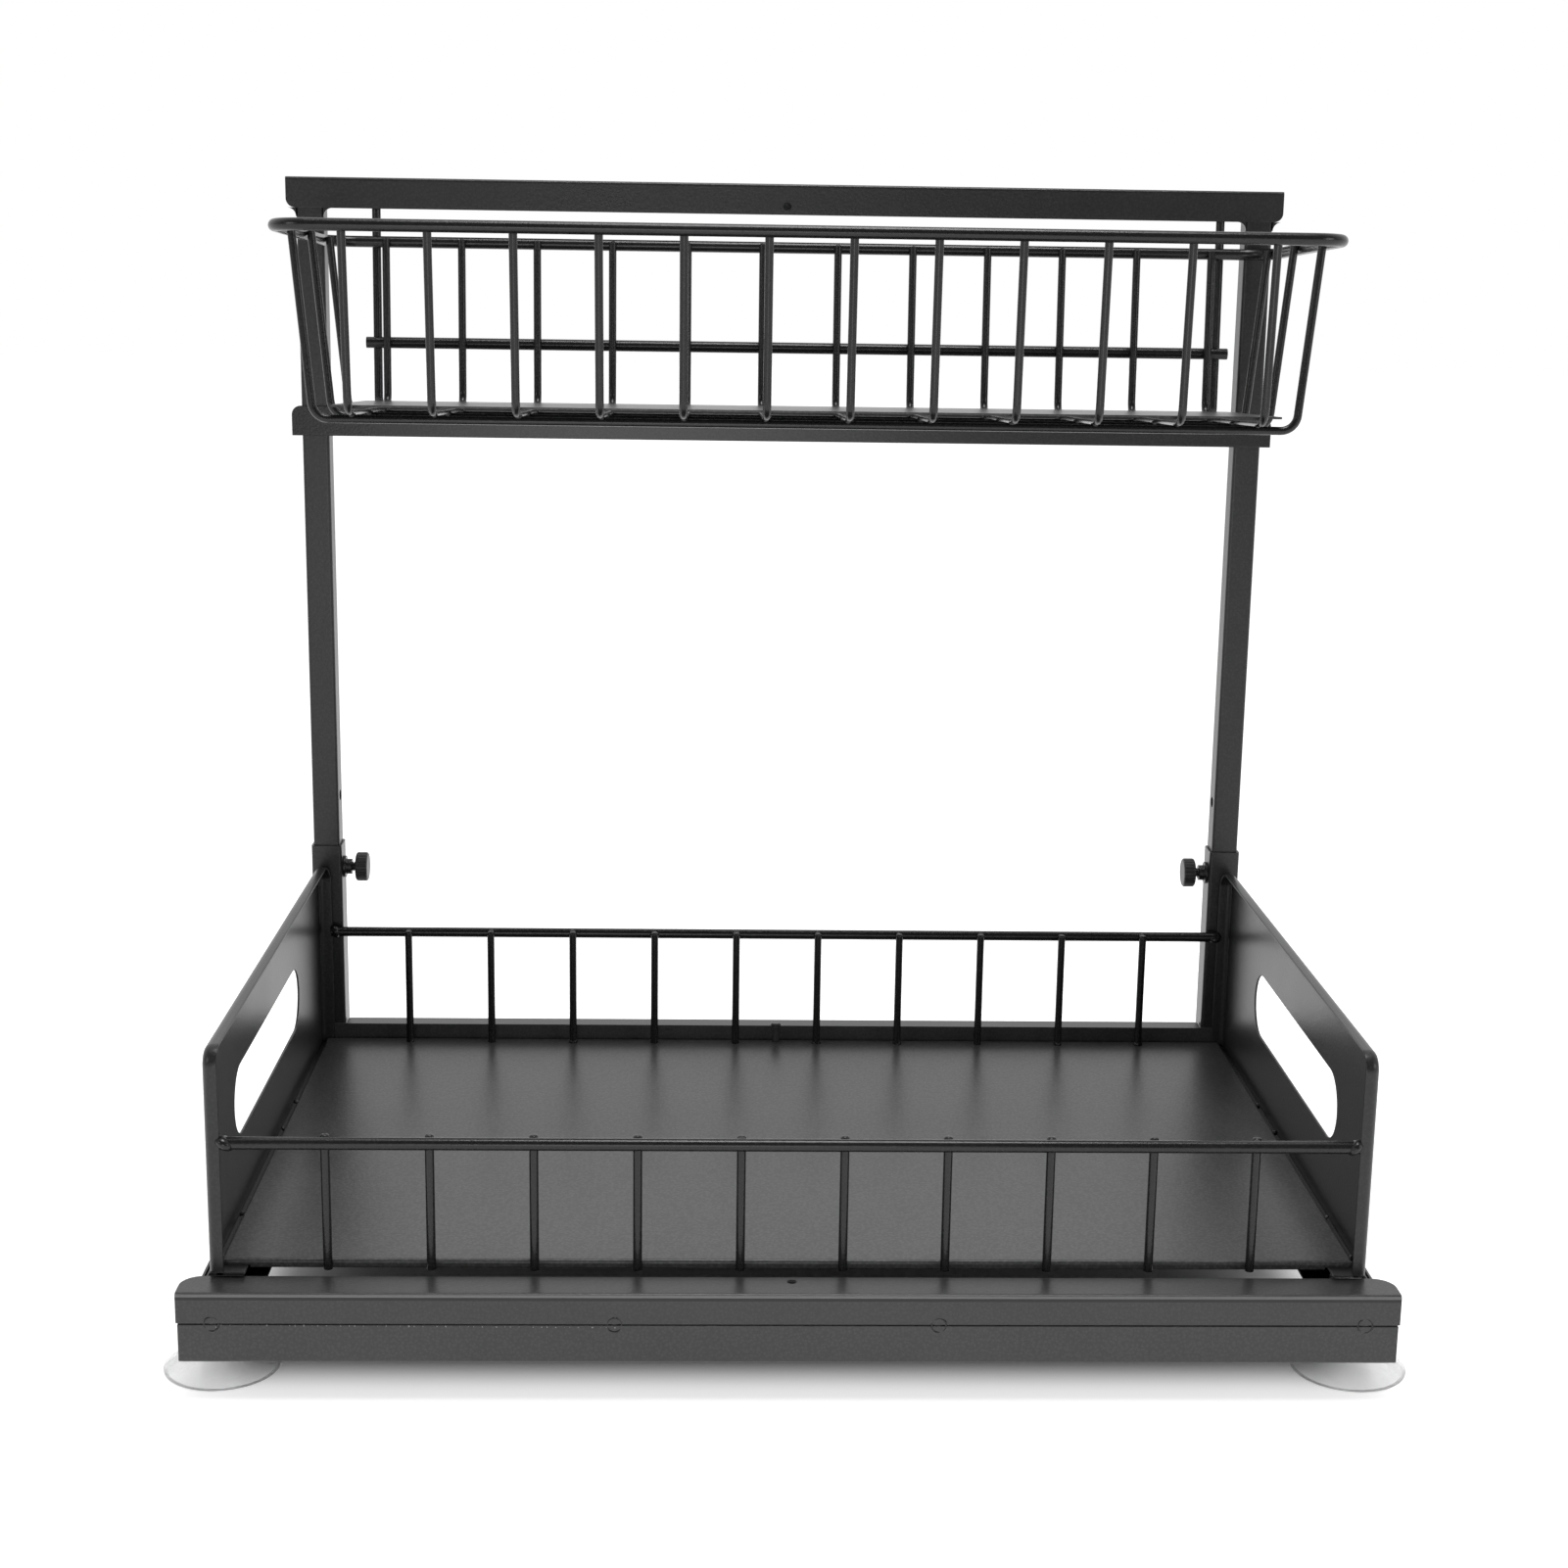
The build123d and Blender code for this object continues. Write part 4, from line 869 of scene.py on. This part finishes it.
def side_panel(name, side):
    low, high = (Vector(corner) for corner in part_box(name))
    outer = high.x if side > 0 else -low.x
    shell = bmesh.new()

    def at(depth, y, z):
        return shell.verts.new((side * (outer - depth), y, z))

    rings = []
    for y, z, turned, width in panel_outline(low, high):
        away_y, away_z = math.cos(turned), math.sin(turned)
        rings.append([at(depth, y - inward * away_y, z - inward * away_z)
                      for inward, depth in rim_section(width)])
    join_rings(shell, rings, closed=False)
    shell.faces.new(rings[0] + rings[-1][::-1])
    centre = (low.y + SLOT_FROM_FRONT, low.z + SLOT_ABOVE_FOOT)
    rounding = SHEET / 2
    loops = []
    for step in range(EASING_STEPS + 1):
        turned = math.pi * step / EASING_STEPS
        loops.append([at(rounding - rounding * math.cos(turned), y, z)
                      for y, z in slot_outline(*centre, rounding - rounding * math.sin(turned))])
    join_rings(shell, loops, closed=True)
    fill_web(shell, [ring[0] for ring in rings], loops[0])
    fill_web(shell, [ring[-1] for ring in rings], loops[-1])
    add_foot(shell, side, outer, low, high)
    bmesh.ops.remove_doubles(shell, verts=shell.verts, dist=SAME_PLACE)
    open_edges = sum(not edge.is_manifold for edge in shell.edges)
    made = placed(f"pressed_{name}", smooth_mesh(f"pressed_{name}", shell, upper_coat, PANEL_SHARP_ANGLE))
    weighted = made.modifiers.new("flat_faces_rule", "WEIGHTED_NORMAL")
    weighted.keep_sharp = True
    keep_evaluated(made)
    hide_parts(name)
    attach(made, "tray")
    print(made.name, len(made.data.polygons), "faces,", open_edges, "open edges")


for panel_name, side in (("side_panel_right", 1), ("side_panel_left", -1)):
    side_panel(panel_name, side)

# %% [markdown]
# The top bar is welded to the uprights with a short bead in each corner below it. A bead is concave: it
# hugs both metals and thins out along them. Its outline is a corner with a hollow arc across it, set back
# by half the sheet from the bar's face, and the finish rounds its edges as it does everywhere.

# %% Bead in the corners below the top bar
BEAD_REACH = 0.0034
BEAD_STEPS = 8
BEAD_DEPTH = 0.0016


def corner_bead(shell, x, z, along_x, front_y):
    """One hollow bead: from the corner at x, z it runs along_x beside the bar and down the upright."""
    outline = [(x, z), (x + along_x * BEAD_REACH, z)]
    for step in range(1, BEAD_STEPS):
        turned = math.pi / 2 * step / BEAD_STEPS
        outline.append((x + along_x * BEAD_REACH * (1 - math.sin(turned)),
                        z - BEAD_REACH * (1 - math.cos(turned))))
    outline.append((x, z - BEAD_REACH))
    front_ring = [shell.verts.new((px, front_y, pz)) for px, pz in outline]
    back_ring = [shell.verts.new((px, front_y + BEAD_DEPTH, pz)) for px, pz in outline]
    shell.faces.new(front_ring)
    shell.faces.new(back_ring[::-1])
    for index in range(len(outline)):
        after = (index + 1) % len(outline)
        shell.faces.new((front_ring[after], front_ring[index], back_ring[index], back_ring[after]))


beads = bmesh.new()
bar_low = Vector(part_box("top_bar")[0])
for upright in ("upright_left", "upright_right"):
    post_low, post_high = (Vector(corner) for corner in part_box(upright))
    for x, along_x in ((post_low.x, -1), (post_high.x, 1)):
        corner_bead(beads, x, bar_low.z, along_x, bar_low.y + SHEET / 2)
bmesh.ops.recalc_face_normals(beads, faces=beads.faces)
bead_mesh = bpy.data.meshes.new("bar_weld_beads")
beads.to_mesh(bead_mesh)
beads.free()
bead_mesh.materials.append(upper_coat)
bar_beads = placed("bar_weld_beads", bead_mesh)
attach(bar_beads, "upper_frame")
print("beads below the top bar,", len(bead_mesh.polygons), "faces")

# %% [markdown]
# The two halves of the front rail are spot welded through their lap. A real nugget is a shallow dish
# with an uneven raised ring, where the electrode pushed the metal aside. Each one is turned round its own
# middle from a profile of pairs, a share of the radius and a share of the height, and two slow waves with
# a phase of its own make the ring uneven.

# %% Nuggets on the front rail
NUGGET_TURN = 36
NUGGET_PROFILE = ((0.3, 0.42), (0.5, 0.2), (0.62, 0.15), (0.74, 0.9), (0.84, 1.0), (0.93, 0.75), (1.0, 0.1))
NUGGET_WAVE = 0.16
NUGGET_OUT_OF_ROUND = 0.03
NUGGET_PHASE = 1.7
SECOND_WAVE = 0.6
SECOND_PHASE = 2.3
DISH_SHARE = 0.5
PIECE_SHARP_ANGLE = 60


def nugget(shell, low, high, phase):
    """A dished, ringed spot between the front face low.y and the sheet at high.y."""
    middle, radius = (low + high) / 2, (high.x - low.x) / 2
    deep = high.y - low.y
    centre = shell.verts.new((middle.x, high.y - DISH_SHARE * deep, middle.z))
    rings = []
    for share, height in NUGGET_PROFILE + ((1.0, 0.0),):
        ring = []
        for step in range(NUGGET_TURN):
            turned = math.tau * step / NUGGET_TURN
            wave = math.sin(2 * turned + phase) + SECOND_WAVE * math.sin(5 * turned + SECOND_PHASE * phase)
            swell = 1 + wave / (1 + SECOND_WAVE)
            reach = radius * share * (1 - NUGGET_OUT_OF_ROUND * swell * share)
            rise = deep * height * (1 - NUGGET_WAVE * swell)
            ring.append(shell.verts.new((middle.x + reach * math.cos(turned), high.y - rise,
                                         middle.z + reach * math.sin(turned))))
        rings.append(ring)
    for step in range(NUGGET_TURN):
        shell.faces.new((centre, rings[0][(step + 1) % NUGGET_TURN], rings[0][step]))
    join_rings(shell, rings, closed=True)
    shell.faces.new(rings[-1])


def finished_piece(name, shell, finish, body, replaced):
    """Closes a bmesh as one finished piece in place of a node, smooth but for its sharp edges."""
    made = placed(name, smooth_mesh(name, shell, finish, PIECE_SHARP_ANGLE))
    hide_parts(replaced)
    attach(made, body)
    print(name, len(made.data.polygons), "faces")


nuggets = bmesh.new()
rail_spots = separate_solids("rail_welds")
for index, (low, high, _) in enumerate(rail_spots):
    nugget(nuggets, low, high, NUGGET_PHASE * index)
finished_piece("rail_nuggets", nuggets, wire_coat, "base", "rail_welds")

# %% [markdown]
# Along the lap of the front rail the coat has caught little specks of bare powder, mostly left of the
# middle. They are the lump tree again, much smaller, and a golden-ratio stride spreads them, because it
# never falls in step.

# %% Specks along the lap
GOLDEN = 0.61803
SPECKS = 46
SPECK_ZONE = (-0.187, -0.055)
SPECK_DROP = 0.0009
SPECK_DRIFT = 0.0007
SPECK_RADIUS = 0.00024
rail_low = Vector(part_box("front_rail_upper")[0])
lower_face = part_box("front_rail_lower")[0][1]
speck_points = []
for index in range(SPECKS):
    share = (index * GOLDEN) % 1
    drift = (index * GOLDEN * GOLDEN) % 1 - 0.5
    speck_points.append((SPECK_ZONE[0] + (SPECK_ZONE[1] - SPECK_ZONE[0]) * share, lower_face,
                         rail_low.z - SPECK_DROP + SPECK_DRIFT * drift))
lumps_at("rail_specks", speck_points, "base", {
    "Lump Radius": SPECK_RADIUS, "Flatness": 0.6, "Smallest": 0.4, "Largest": 1.3, "Finish": bare_speck})

# %% [markdown]
# On the tray, small flat tacks hold the side panels to the floor's edge. They are lumps too, squashed to
# half their height, and each place is a share of the floor's depth, counted from its front.

# %% Tacks beside the tray floor
TACK_SHARES = (0.015, 0.17, 0.53, 0.66)
TACK_PROUD = 0.0003
TACK_SINK = 0.0002
TACK_RADIUS = 0.0012
floor_low, floor_high = (Vector(corner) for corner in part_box("tray_floor"))
tack_points = [(side * (floor_high.x + TACK_PROUD), floor_low.y + share * (floor_high.y - floor_low.y),
                floor_high.z - TACK_SINK) for side in (-1, 1) for share in TACK_SHARES]
lumps_at("floor_tacks", tack_points, "tray", {
    "Lump Radius": TACK_RADIUS, "Flatness": 0.5, "Finish": wire_coat})

# %% [markdown]
# The thumb screws are M4. Their thread is a tube whose radius rises and falls once every 0.7 mm while it
# winds round, so one grid of points makes a true helix with flat ends.

# %% Screw threads
PITCH = 0.0007
THREAD_DEPTH = 0.00043
ROWS_PER_PITCH = 6
AROUND = 24


def threaded(shell, low, high):
    axis_y, axis_z = (low.y + high.y) / 2, (low.z + high.z) / 2
    crest = (high.y - low.y) / 2
    rows = math.ceil((high.x - low.x) / PITCH * ROWS_PER_PITCH)
    rings = []
    for row in range(rows + 1):
        x = low.x + (high.x - low.x) * row / rows
        ring = []
        for step in range(AROUND):
            wound = (x / PITCH - step / AROUND) % 1
            radius = crest - THREAD_DEPTH * abs(2 * wound - 1)
            turned = math.tau * step / AROUND
            ring.append(shell.verts.new((x, axis_y + radius * math.cos(turned),
                                         axis_z + radius * math.sin(turned))))
        rings.append(ring)
    join_rings(shell, rings, closed=True)
    shell.faces.new(rings[0])
    shell.faces.new(rings[-1])


for side_name in ("right", "left"):
    thread = bmesh.new()
    threaded(thread, *(Vector(corner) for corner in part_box(f"screw_{side_name}")))
    finished_piece(f"thread_{side_name}", thread, black_zinc, f"screw_{side_name}_body",
                   f"screw_{side_name}")
